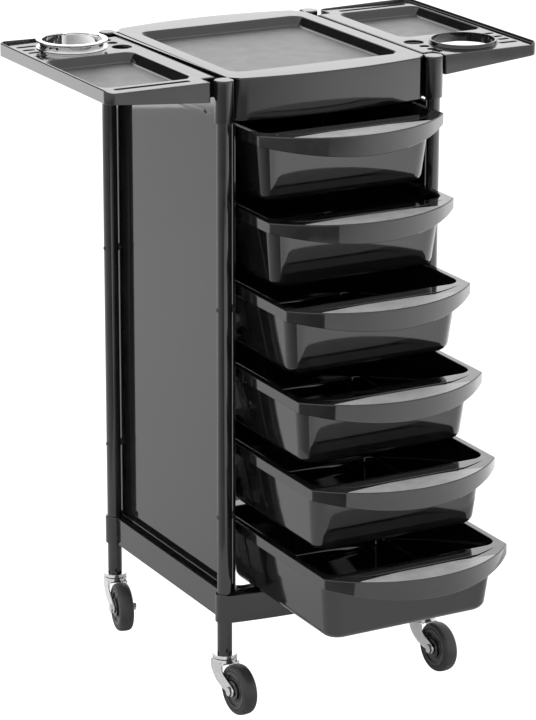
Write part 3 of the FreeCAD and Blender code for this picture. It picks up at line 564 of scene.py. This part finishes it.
def add_hinge_ears(mesh, side, top):
    """The ears under the platform that hold the hinge pins."""
    hinge_x = side * HINGE_X
    upright = Matrix(((1, 0, 0, 0), (0, 0, 1, 0), (0, 1, 0, 0), (0, 0, 0, 1)))
    outline = arc((hinge_x, HINGE_Z), EYE_RADIUS, 180, 360, 12)
    outline += [(hinge_x + EYE_RADIUS, top + 0.5), (hinge_x - EYE_RADIUS, top + 0.5)]
    hole = circle_outline(hinge_x, HINGE_Z, PIN_RADIUS, 20)
    for along in HINGE_YS:
        for shift in (-1, 1):
            near = CENTRE_Y + along + shift * HALF_WEB
            low, high = sorted((near, near + shift * EAR_THICK))
            slab(mesh, outline, low, high, 0.3, [hole], upright)


def make_holder_rings():
    """The stepped chrome ring on the left and the plain black collar on the right."""
    low, high = limits("dryer_ring")
    centre = (low + high) / 2
    top = high.z
    mesh = bmesh.new()
    profile = rounded([
        (42.8, 870, 0.4), (46, 870, 0.4), (46, 878, 0.2), (48.9, 878, 0.4), (48.9, 879.3, 0.5),
        (45.6, 879.8, 0.3), (45.6, 881.2, 0.5), (44.4, 881.6, 0.3), (44.4, top - 4.4, 0.4),
        (46.6, top - 3.6, 0.6), (49, top - 2.6, 0.8), (49, top - 0.4, 0.7), (47.6, top, 0.9),
        (42.2, top, 0.9), (40.7, top - 1, 0.7), (40.7, top - 2.6, 0.5), (42.8, top - 4.2, 0.8)], 3)
    lathe(mesh, profile, Matrix.Translation((centre.x, centre.y, 0)), 96)
    piece("dryer_ring_chrome", mesh, "left_flap", CHROME, ["dryer_ring"], 50)
    low, high = limits("holder_collar")
    centre = (low + high) / 2
    mesh = bmesh.new()
    profile = rounded([(43.5, 870, 0.4), (46, 870, 0.4), (46, 878, 0.2), (47.9, 878.1, 0.3),
                       (46.7, 879.6, 0.8), (46, high.z - 1, 0.6), (45.2, high.z, 0.5),
                       (43.5, high.z, 0.6)], 3)
    lathe(mesh, profile, Matrix.Translation((centre.x, centre.y, 0)), 96)
    piece("holder_collar_black", mesh, "right_flap", BLACK, ["holder_collar"], 50)


# ---------------------------------------------------------------- drawers

DRAWER_HALF, DRAWER_LONG, DRAWER_DEEP = 140, 330, 97
HANDLE_BOW, HANDLE_ENDS, HANDLE_CORNER = 48, 12.4, 5
HANDLE_DEEP, HANDLE_END_DEEP, SKIRT_DEEP = 28.5, 14.5, 15
TUB_HALF, TUB_INSET, TUB_DRAFT, TUB_CORNER, TUB_ROUND = 132.5, 17, 10, 22, 11
DRAWER_WALL, FLANGE = 2.2, 2.5
GROOVE_HALF, GROOVE_DEEP, GROOVE_FADE = 110, 16, 6
GROOVE_FRONT, GROOVE_FRONT_BOW, GROOVE_BACK, GROOVE_BACK_BOW = 9, 35, 4, 30
# Half width and depth of the land's crescent of painted highlight.
CRESCENT_HIGHLIGHT_HALF, CRESCENT_HIGHLIGHT_DEEP = 104, 38
BOW_RADIUS = (DRAWER_HALF ** 2 + (HANDLE_BOW + HANDLE_ENDS) ** 2) / (2 * (HANDLE_BOW + HANDLE_ENDS))
BOW_CENTRE = BOW_RADIUS - HANDLE_BOW
FRONT_STEPS, CORNER_STEPS = 40, 8


def drawer_loop(half, front, rear, corner, bowed_in=None):
    """A loop of fixed point count round a drawer; bowed_in is how far inside the handle's bow its
    front runs, or None for a straight front."""
    front_corner, start, middle_y = corner, 270, front + corner
    span = half - corner
    if bowed_in is not None:
        radius, front_corner = BOW_RADIUS - bowed_in, HANDLE_CORNER - bowed_in
        turn = math.acos((half - front_corner) / (radius - front_corner))
        middle_y = BOW_CENTRE - (radius - front_corner) * math.sin(turn)
        span, start = radius * math.cos(turn), 360 - math.degrees(turn)
    loop = []
    for step in range(FRONT_STEPS + 1):
        x = span * (2 * step / FRONT_STEPS - 1)
        loop.append((x, front if bowed_in is None else BOW_CENTRE - math.sqrt(radius ** 2 - x ** 2)))
    loop += arc((half - front_corner, middle_y), front_corner, start, 360, CORNER_STEPS)
    loop += arc((half - corner, rear - corner), corner, 0, 90, CORNER_STEPS)
    loop += arc((-half + corner, rear - corner), corner, 90, 180, CORNER_STEPS)
    loop += arc((-half + front_corner, middle_y), front_corner, 180, 540 - start, CORNER_STEPS)
    return loop


def tub_loops(mesh, deep, thick):
    """Rings of the tapered tub from its flat floor up to its rim, thick in from the outside."""
    rings = []
    turns = [math.radians(turn) for turn in (90, 72, 54, 36, 18, 0)]
    levels = [(deep - TUB_ROUND + TUB_ROUND * math.sin(turn), TUB_ROUND * (1 - math.cos(turn)))
              for turn in turns]
    levels += [(deep * share, 0.0) for share in (0.6, 0.35, 0.12)]
    for down, extra in levels:
        narrow = TUB_DRAFT * down / deep + extra + thick
        corner = max(TUB_CORNER - thick - 0.25 * narrow, 5)
        loop = drawer_loop(TUB_HALF - narrow, TUB_INSET + narrow, DRAWER_LONG - TUB_INSET - narrow, corner)
        rings.append(ring(mesh, loop, -down))
    for lower, upper in zip(rings, rings[1:]):
        wall(mesh, lower, upper)
    cap(mesh, rings[0])
    return rings


def handle_foot(x, y):
    """The handle face is deepest in the middle; the skirt has one depth."""
    if y >= HANDLE_ENDS - 2:
        return -SKIRT_DEEP
    return -HANDLE_END_DEEP - (HANDLE_DEEP - HANDLE_END_DEEP) * (1 - (x / DRAWER_HALF) ** 2)


def groove_share(x):
    """The finger groove fades out towards both ends of the handle."""
    return min(max((GROOVE_HALF - abs(x)) / GROOVE_FADE, 0), 1)


def handle_loop(step_in):
    """A loop a little inside the drawer's outer edge, bowed in front."""
    return drawer_loop(DRAWER_HALF - step_in, 0, DRAWER_LONG - step_in, 8 - step_in, step_in)


def crescent_highlight_point(x, y):
    """The rear edge of the land's crescent of painted highlight."""
    share = max(1 - (x / CRESCENT_HIGHLIGHT_HALF) ** 2, 0)
    return (x, y + CRESCENT_HIGHLIGHT_DEEP * share) if y < HANDLE_ENDS - 3 else (x, y)


def groove_loop(mesh, bow, reach, lip, depth):
    """A loop on the rim that follows the finger groove's front or back edge in front."""
    start = HANDLE_ENDS + 1
    points = []
    for x, y in drawer_loop(DRAWER_HALF - 6, start, DRAWER_LONG - 6, 6):
        share = max(1 - (x / (DRAWER_HALF - 12)) ** 2, 0)
        if y < start + 0.01:
            y = max(start - bow * share, -reach) + lip * share
        points.append((x, y))
    return ring(mesh, points, lambda x, y: -depth * groove_share(x) * (y < start))


def add_handle(mesh, tub_top):
    """The skirt and handle face up from the tub, then the land; returns the land's inner loop."""
    thick = DRAWER_WALL
    rounding = [
        (thick, lambda x, y: -FLANGE), (thick, lambda x, y: handle_foot(x, y) + 0.6),
        (thick - 0.6, handle_foot), (0.6, handle_foot), (0, lambda x, y: handle_foot(x, y) + 0.6),
        (0, lambda x, y: -1.4), (0.25, lambda x, y: -0.65), (0.75, lambda x, y: -0.18),
        (1.5, lambda x, y: 0.0)]
    last = tub_top
    for step_in, height in rounding:
        loop = ring(mesh, handle_loop(step_in), height)
        wall(mesh, last, loop)
        last = loop
    before = len(mesh.faces)
    land = ring(mesh, [crescent_highlight_point(x, y) for x, y in handle_loop(1.8)], 0)
    wall(mesh, last, land)
    mesh.faces.ensure_lookup_table()
    # The land's front crescent takes the second material, a painted highlight.
    for face in mesh.faces[before:]:
        spot = face.calc_center_median() / MM
        face.material_index = int(spot.y < HANDLE_ENDS and abs(spot.x) < CRESCENT_HIGHLIGHT_HALF)
    return land


def drawer_mesh():
    """One drawer about its front rim corner: tub, flat rim, skirts and a bowed handle with a groove."""
    mesh = bmesh.new()
    outside = tub_loops(mesh, DRAWER_DEEP, 0)
    tub_top = ring(mesh, drawer_loop(TUB_HALF, TUB_INSET, DRAWER_LONG - TUB_INSET, TUB_CORNER), -FLANGE)
    wall(mesh, outside[-1], tub_top)
    last = add_handle(mesh, tub_top)
    front, back = (GROOVE_FRONT_BOW, GROOVE_FRONT), (GROOVE_BACK_BOW, GROOVE_BACK)
    for edge, lip, depth in ((front, -0.8, 0), (front, 0, 0.8), (front, 0, GROOVE_DEEP),
                             (back, 0, GROOVE_DEEP), (back, 0, 0.8), (back, 0.8, 0)):
        loop = groove_loop(mesh, *edge, lip, depth)
        wall(mesh, last, loop)
        last = loop
    for out, height in ((1.0, 0.0), (0.3, -0.25), (-0.1, -1.2)):
        thick = DRAWER_WALL - out
        loop = ring(mesh, drawer_loop(TUB_HALF - thick, TUB_INSET + thick, DRAWER_LONG - TUB_INSET - thick,
                                      TUB_CORNER - DRAWER_WALL), height)
        wall(mesh, last, loop)
        last = loop
    inside = tub_loops(mesh, DRAWER_DEEP - DRAWER_WALL, DRAWER_WALL)
    wall(mesh, last, inside[-1])
    return mesh


def make_drawers():
    """Six copies of the drawer, each where its CAD node is."""
    for number in range(1, 7):
        low, high = limits("drawer_%d" % number)
        mesh = drawer_mesh()
        bmesh.ops.translate(mesh, verts=mesh.verts, vec=Vector((0, low.y + HANDLE_BOW, high.z)) * MM)
        # The second material paints a highlight on the handle land's crescent.
        piece("drawer_moulding_%d" % number, mesh, "drawer_%d" % number, [DRAWER, LAND_PAINTED_HIGHLIGHT],
              ["drawer_%d" % number])


# ---------------------------------------------------------------- base, posts and screws

BASE_HALF, BASE_END, BASE_BOW, BASE_BAR, BASE_WALL, BASE_LOBE = 160.5, 185, 15, 27, 3, 13
RIDGE_HALF, RIDGE_BACK = 147.5, 13
POST_RADIUS, POST_SCREW_SEAT, POST_SCREW_LEVELS = 10.25, 9.9, (568, 275)
TRAY_SCREW_YS, TRAY_SCREW_LEVEL = (-100, 100), 822
SCREW_HEAD, SCREW_HIGH, SCREW_RECESS = 3.3, 1.6, 0.8


def make_base_frame():
    """The bottom ring: sleeves at the posts, an open middle and a hollow underside."""
    foot, top = limits("base_frame")[0].z, limits("base_frame")[1].z
    half, end, bar, thick = BASE_HALF, BASE_END, BASE_BAR, BASE_WALL
    mesh = bmesh.new()
    outline = shifted(lobed_outline(half, end, BASE_BOW, end, BASE_BOW, BASE_LOBE))
    outer = sweep(mesh, outline, edge_round(0.6, foot, 2, -1) + edge_round(2.2, top, 4))
    inner = sweep(mesh, outline, [(thick - 0.6, foot), (thick, foot + 0.6), (thick, top - thick)])
    wall(mesh, inner[0], outer[0])
    opening = rectangle(-half + bar, half - bar, CENTRE_Y - end + bar, CENTRE_Y + end - bar, 12, 8)
    hole = sweep(mesh, opening, [(-1.6, top), (-0.5, top - 0.5), (0, top - 1.6), (0, foot + 0.6),
                                 (-0.6, foot), (-thick + 0.6, foot), (-thick, foot + 0.6),
                                 (-thick, top - thick)])
    ridge_line = rectangle(-RIDGE_HALF, RIDGE_HALF, CENTRE_Y - end + RIDGE_BACK,
                           CENTRE_Y + end - RIDGE_BACK, 10, 8)
    ridge = sweep(mesh, ridge_line,
                  [(-0.8, top), (-0.6, top + 0.7), (-0.2, top + 0.9), (0.2, top + 0.9), (0.6, top + 0.7),
                   (0.8, top)])
    cap(mesh, outer[-1], ridge[0])
    cap(mesh, ridge[-1], hole[0])
    cap(mesh, inner[-1], hole[-1])
    piece("base_frame_moulding", mesh, "frame", BLACK, ["base_frame"])


def make_posts():
    """Black glossy tubes."""
    for corner, centre in POST_MIDDLES.items():
        low, high = limits("post_" + corner)
        mesh = bmesh.new()
        lathe(mesh, [(POST_RADIUS - 1.2, low.z), (POST_RADIUS - 0.3, low.z), (POST_RADIUS, low.z + 0.3),
                     (POST_RADIUS, high.z), (POST_RADIUS - 1.2, high.z)],
              Matrix.Translation((centre.x, centre.y, 0)), 48)
        piece("post_tube_" + corner, mesh, "frame", TUBE, ["post_" + corner])


def screw_heads(name, places):
    """Domed heads with a cross recess; places are (x of the seat, y, z)."""
    mesh = bmesh.new()
    for seat, along, level in places:
        side = math.copysign(1, seat)
        place = Matrix.Translation((seat, along, level)) @ Matrix.Rotation(side * math.pi / 2, 4, "Y")
        rings = []
        for share in (1.0, 0.99, 0.93, 0.8, 0.62, 0.6, 0.3, 0.12):
            height = 0 if share == 1 else SCREW_HIGH * math.sqrt(max(1 - share ** 2, 0.02))
            circle = circle_outline(0, 0, SCREW_HEAD * share, 32)

            def crossed(x, y, height=height, share=share):
                in_cross = share < 0.61 and min(abs(x), abs(y)) < 0.5
                return height - (SCREW_RECESS if in_cross else 0)

            rings.append(ring(mesh, circle, crossed, place))
        for lower, upper in zip(rings, rings[1:]):
            wall(mesh, lower, upper)
        mesh.faces.new(rings[-1])
        mesh.faces.new(rings[0])
    piece(name + "_heads", mesh, "frame", SCREW, [name], 40)


def make_screws():
    """Screws on the outer side of the posts and in the tray's side aprons."""
    places = []
    for corner, centre in POST_MIDDLES.items():
        seat = centre.x + CORNERS[corner][0] * POST_SCREW_SEAT
        places += [(seat, centre.y, level) for level in POST_SCREW_LEVELS]
    screw_heads("post_screws", places)
    places = [(side * (TRAY_HALF + 0.1), CENTRE_Y + along, TRAY_SCREW_LEVEL)
              for side in (-1, 1) for along in TRAY_SCREW_YS]
    screw_heads("tray_screws", places)


# ---------------------------------------------------------------- castors

AXLE_HIGH = middle("castor_tyre_front_left").z
FORK_HALF, FORK_TOP, FORK_REAR, FORK_FRONT = 14.5, 65.5, 15, 15.5
FORK_EYE, FORK_THICK, STEM_HOLE, AXLE_HOLE = 7.5, 2.2, 5, 4.1
TYRE_HALF, TYRE_INNER, TREAD_HALF, SHOULDER = 10.5, 25.5, 4.2, 5.8
HUB_HALF, HUB_BOSS, HUB_RIM = 11.5, 9, 3


def castor_place(corner):
    """The castor's own axes, origin under its stem and +X towards its wheel, and its trail."""
    stem = POST_MIDDLES[corner]
    reach = middle("castor_tyre_" + corner) - stem
    heading = math.atan2(reach.y, reach.x)
    place = Matrix.Translation((stem.x, stem.y, 0)) @ Matrix.Rotation(heading, 4, "Z")
    return place, math.hypot(reach.x, reach.y)


def curve(start, bend_one, bend_two, end, steps=8):
    """Points along a Bezier curve, without its last point."""
    points = [Vector(point) for point in (start, bend_one, bend_two, end)]
    shares = [step / steps for step in range(steps)]
    return [tuple((1 - t) ** 3 * points[0] + 3 * t * (1 - t) ** 2 * points[1]
                  + 3 * t ** 2 * (1 - t) * points[2] + t ** 3 * points[3]) for t in shares]


def fork_cheek(trail):
    """Side outline of the fork in (ahead, up): a wide shoulder that sweeps down to the axle eye."""
    eye = arc((trail, AXLE_HIGH), FORK_EYE, 215, 395, 14)
    rear = curve((-FORK_REAR, FORK_TOP - 3), (-FORK_REAR, 42), (12, 30), eye[0], 10)
    front = curve(eye[-1], (trail - 4, 47), (14, 50), (FORK_FRONT, FORK_TOP - 8), 8)
    corner = rounded([(FORK_FRONT, FORK_TOP - 8, 0), (FORK_FRONT, FORK_TOP, 3), (-FORK_REAR, FORK_TOP, 3),
                      (-FORK_REAR, FORK_TOP - 3.2, 0)], 4)
    return rear + eye[:-1] + front + corner[:-1]


def fork_mesh(place, trail):
    """Two cheeks, a hood with the stem's hole, and a turned-down lip behind."""
    on_side = Matrix(((1, 0, 0, 0), (0, 0, -1, 0), (0, 1, 0, 0), (0, 0, 0, 1)))
    on_back = Matrix(((0, 0, 1, 0), (1, 0, 0, 0), (0, 1, 0, 0), (0, 0, 0, 1)))
    mesh = bmesh.new()
    for side in (-1, 1):
        low, high = sorted((side * (FORK_HALF - FORK_THICK), side * FORK_HALF))
        hole = circle_outline(trail, AXLE_HIGH, AXLE_HOLE, 24)
        slab(mesh, fork_cheek(trail), low, high, 0.5, [hole], place @ on_side)
    hood = rectangle(-FORK_REAR, FORK_FRONT, -FORK_HALF, FORK_HALF, 4, 5)
    slab(mesh, hood, FORK_TOP - FORK_THICK, FORK_TOP, 0.8, [circle_outline(0, 0, STEM_HOLE, 24)], place)
    lip = rectangle(-FORK_HALF + 1, FORK_HALF - 1, FORK_TOP - 9, FORK_TOP - 0.6, 2, 4)
    slab(mesh, lip, -FORK_REAR, -FORK_REAR + 1.8, 0.5, (), place @ on_back)
    return mesh


def tyre_mesh(axle):
    """A tyre with a ring groove in each side wall, round shoulders and a slightly crowned tread."""
    mesh = bmesh.new()
    half, crown = TYRE_HALF, AXLE_HIGH
    side_wall = [(TYRE_INNER, half - 0.2), (26.6, half - 0.2), (27.0, half - 0.8), (27.6, half - 0.8),
                 (28, half), (29.6, half)]
    turns = [math.radians(step * 10) for step in range(1, 9)]
    shoulder = [(crown - SHOULDER + SHOULDER * math.sin(turn) * 0.94,
                 TREAD_HALF + (half - TREAD_HALF) * math.cos(turn)) for turn in turns]
    upper = side_wall + shoulder + [(crown - 0.1, 2.4)]
    tread = [(radius, -level) for radius, level in upper] + [(crown, 0)] + upper[::-1]
    lathe(mesh, tread, axle, 72)
    return mesh


def hub_mesh(axle):
    """A hub with a boss and a nearly flush face of shallow rings."""
    mesh = bmesh.new()
    rim, half = TYRE_INNER - HUB_RIM, TYRE_HALF - 0.4
    face = rounded([(4.06, HUB_HALF, 0.3), (HUB_BOSS, HUB_HALF, 0.8), (HUB_BOSS, half - 2.2, 0.8),
                    (14, half - 2.4, 0.4), (14.6, half - 1.4, 0.4), (16, half - 1.4, 0.4),
                    (16.6, half - 2.4, 0.4), (rim - 0.6, half - 2.2, 0.6), (rim, half - 0.4, 0.5),
                    (TYRE_INNER, half, 0.3)], 3)[:-4]
    face.append((TYRE_INNER, half))
    profile = [(radius, -level) for radius, level in face][::-1] + face
    lathe(mesh, profile, axle, 64)
    return mesh


def make_castors():
    """Fork, tyre and ribbed hub for each castor."""
    for corner in CORNERS:
        place, trail = castor_place(corner)
        axle = place @ Matrix.Translation((trail, 0, AXLE_HIGH)) @ Matrix.Rotation(math.pi / 2, 4, "X")
        piece("castor_fork_pressing_" + corner, fork_mesh(place, trail), "castor_" + corner, ZINC,
              ["castor_fork_" + corner])
        piece("castor_tyre_tread_" + corner, tyre_mesh(axle), "wheel_" + corner, RUBBER,
              ["castor_tyre_" + corner], 40)
        piece("castor_hub_ribbed_" + corner, hub_mesh(axle), "wheel_" + corner, HUB,
              ["castor_hub_" + corner], 40)


# ---------------------------------------------------------------- stage and camera

SKY = 1.25
NEAR_STEP, FAR_STEP = -33.0, -9.9
FLOOR_REACHES = (0.75, 0.8, 1.1, 1.5, 1.85, 2.2, 2.5, 2.65, 3.0, 3.5, 4.2)
AZIMUTH, ELEVATION, ROLL = math.radians(-28.608), math.radians(17.721), math.radians(0.159)
DISTANCE, LENS, AIM_HEIGHT = 4.5408, 161.04, 0.425


def material_plain(name, grey, rough):
    """A plain material for the stage."""
    material, nodes, links, shader, place = new_material(name)
    cloud = noise(nodes, links, place, 1.5, 2)
    tint(nodes, links, shader, cloud, (grey * 0.985,) * 3, (grey,) * 3)
    shader.inputs["Roughness"].default_value = rough
    return material


def add_card(name, mesh, material):
    """A studio card that is seen only in reflections and throws no light or shadow itself."""
    data = bpy.data.meshes.new(name)
    mesh.to_mesh(data)
    mesh.free()
    data.materials.append(material)
    item = bpy.data.objects.new(name, data)
    item.visible_camera = False
    item.visible_diffuse = False
    item.visible_transmission = False
    item.visible_shadow = False
    bpy.context.scene.collection.objects.link(item)
    return item


def emission(name, strength):
    """A glowing card material."""
    material = bpy.data.materials.new(name)
    material.use_nodes = True
    nodes, links = material.node_tree.nodes, material.node_tree.links
    nodes.clear()
    glow = nodes.new("ShaderNodeEmission")
    glow.inputs["Strength"].default_value = strength
    output = nodes.new("ShaderNodeOutputMaterial")
    links.new(glow.outputs["Emission"], output.inputs["Surface"])
    return material


def wall_card(name, bearing, far, half_angle, low, high, strength):
    """An upright curved card round the trolley; bearings are degrees from -Y towards +X."""
    mesh = bmesh.new()
    columns = []
    for step in range(13):
        turn = math.radians(bearing + half_angle * (step / 6 - 1))
        spot = Vector((math.sin(turn) * far, -math.cos(turn) * far, 0))
        columns.append([mesh.verts.new(spot + Vector((0, 0, level))) for level in (low, high)])
    for first, second in zip(columns, columns[1:]):
        mesh.faces.new((first[0], second[0], second[1], first[1]))
    add_card(name, mesh, emission(name + "_glow", strength))


def floor_glow(bearing, reach):
    """How bright the floor looks in the gloss: a dark left side, a crisp step, a brighter right.

    The step stands further left near the trolley, where the drawers' handles reflect the floor.
    """
    rows = ((0.8, (1.1, 0.9, 0.5, 0.45, 0.45, 1.25, 1.25, 1.25, 1.35, 1.4, 1.9, 2.3, 1.3)),
            (1.5, (1.1, 0.8, 0.35, 0.2, 0.15, 1.6, 1.6, 1.6, 1.8, 1.95, 2.3, 2.6, 1.3)),
            (2.5, (1.1, 0.8, 0.4, 0.25, 0.25, 1.35, 1.4, 1.4, 1.65, 1.95, 2.3, 2.6, 1.3)),
            (2.65, (1.1, 0.8, 0.4, 0.25, 0.25, 0.25, 0.25, 1.2, 1.55, 1.9, 2.3, 2.6, 1.3)),
            (3.5, (1.1, 0.8, 0.5, 0.45, 0.4, 0.4, 0.4, 0.5, 1.0, 1.75, 2.3, 2.6, 1.3)))
    stops = (-125, -110, -60, -40, NEAR_STEP - 0.1, NEAR_STEP, FAR_STEP - 0.1, FAR_STEP, 8, 28, 60, 100, 125)

    def along(row):
        for low, high, first, second in zip(stops, stops[1:], row, row[1:]):
            if bearing <= high:
                return first + (second - first) * (bearing - low) / (high - low)
        return row[-1]

    for (near, low_row), (far, high_row) in zip(rows, rows[1:]):
        if reach <= far:
            share = max((reach - near) / (far - near), 0)
            return along(low_row) * (1 - share) + along(high_row) * share
    return along(rows[-1][1])


def floor_card():
    """A wide ring of floor whose glow changes with bearing and distance, held as a mesh colour."""
    mesh = bmesh.new()
    layer = mesh.verts.layers.float.new("glow")
    bearings = [-125 + 5 * step for step in range(51)]
    bearings += [NEAR_STEP - 0.1, NEAR_STEP, FAR_STEP - 0.1, FAR_STEP]
    columns = []
    for bearing in sorted(bearings):
        turn = math.radians(bearing)
        column = []
        for reach in FLOOR_REACHES:
            vert = mesh.verts.new((math.sin(turn) * reach, -math.cos(turn) * reach, 0.004))
            vert[layer] = floor_glow(bearing, reach)
            column.append(vert)
        columns.append(column)
    for first, second in zip(columns, columns[1:]):
        for row in range(len(first) - 1):
            mesh.faces.new((first[row], second[row], second[row + 1], first[row + 1]))
    material = emission("floor_card_glow", 1)
    nodes, links = material.node_tree.nodes, material.node_tree.links
    glow = nodes.new("ShaderNodeAttribute")
    glow.attribute_name = "glow"
    links.new(glow.outputs["Fac"], nodes["Emission"].inputs["Strength"])
    add_card("floor_card", mesh, material)


def make_stage():
    """A pale floor and a soft, even sky, with cards that shape what the gloss reflects."""
    mesh = bmesh.new()
    bmesh.ops.create_grid(mesh, x_segments=1, y_segments=1, size=12)
    data = bpy.data.meshes.new("floor")
    mesh.to_mesh(data)
    mesh.free()
    data.materials.append(material_plain("floor_pale", 0.9, 0.8))
    floor = bpy.data.objects.new("floor", data)
    floor.visible_camera = False
    bpy.context.scene.collection.objects.link(floor)
    world = bpy.data.worlds.new("studio")
    world.use_nodes = True
    world.node_tree.nodes["Background"].inputs["Color"].default_value = (1, 1, 1, 1)
    world.node_tree.nodes["Background"].inputs["Strength"].default_value = SKY
    bpy.context.scene.world = world
    wall_card("rear_wall", 150, 4.5, 32, 0.0, 3.4, 1.9)
    wall_card("left_wall_low", -151, 2.64, 14, 0.23, 0.5, 2.9)
    wall_card("left_wall_dark", -151, 2.7, 22, 0.5, 2.6, 0.05)
    floor_card()


def make_camera():
    """The camera stands to the front left and looks a little down."""
    aim = Vector((0.001, CENTRE_Y * MM, AIM_HEIGHT))
    back = Vector((math.sin(AZIMUTH) * math.cos(ELEVATION), -math.cos(AZIMUTH) * math.cos(ELEVATION),
                   math.sin(ELEVATION)))
    data = bpy.data.cameras.new("camera")
    data.lens = LENS
    data.sensor_width = 36
    data.clip_end = 100
    camera = bpy.data.objects.new("camera", data)
    camera.location = aim + back * DISTANCE
    turn = (-back).to_track_quat("-Z", "Y").to_matrix().to_4x4() @ Matrix.Rotation(ROLL, 4, "Z")
    camera.rotation_euler = turn.to_euler()
    bpy.context.scene.collection.objects.link(camera)
    bpy.context.scene.camera = camera


make_camera()
make_stage()
bpy.context.scene.view_settings.view_transform = "Standard"
make_top_tray()
make_side_tray("left", -1)
make_side_tray("right", 1)
make_holder_rings()
make_drawers()
make_base_frame()
make_posts()
make_screws()
make_castors()
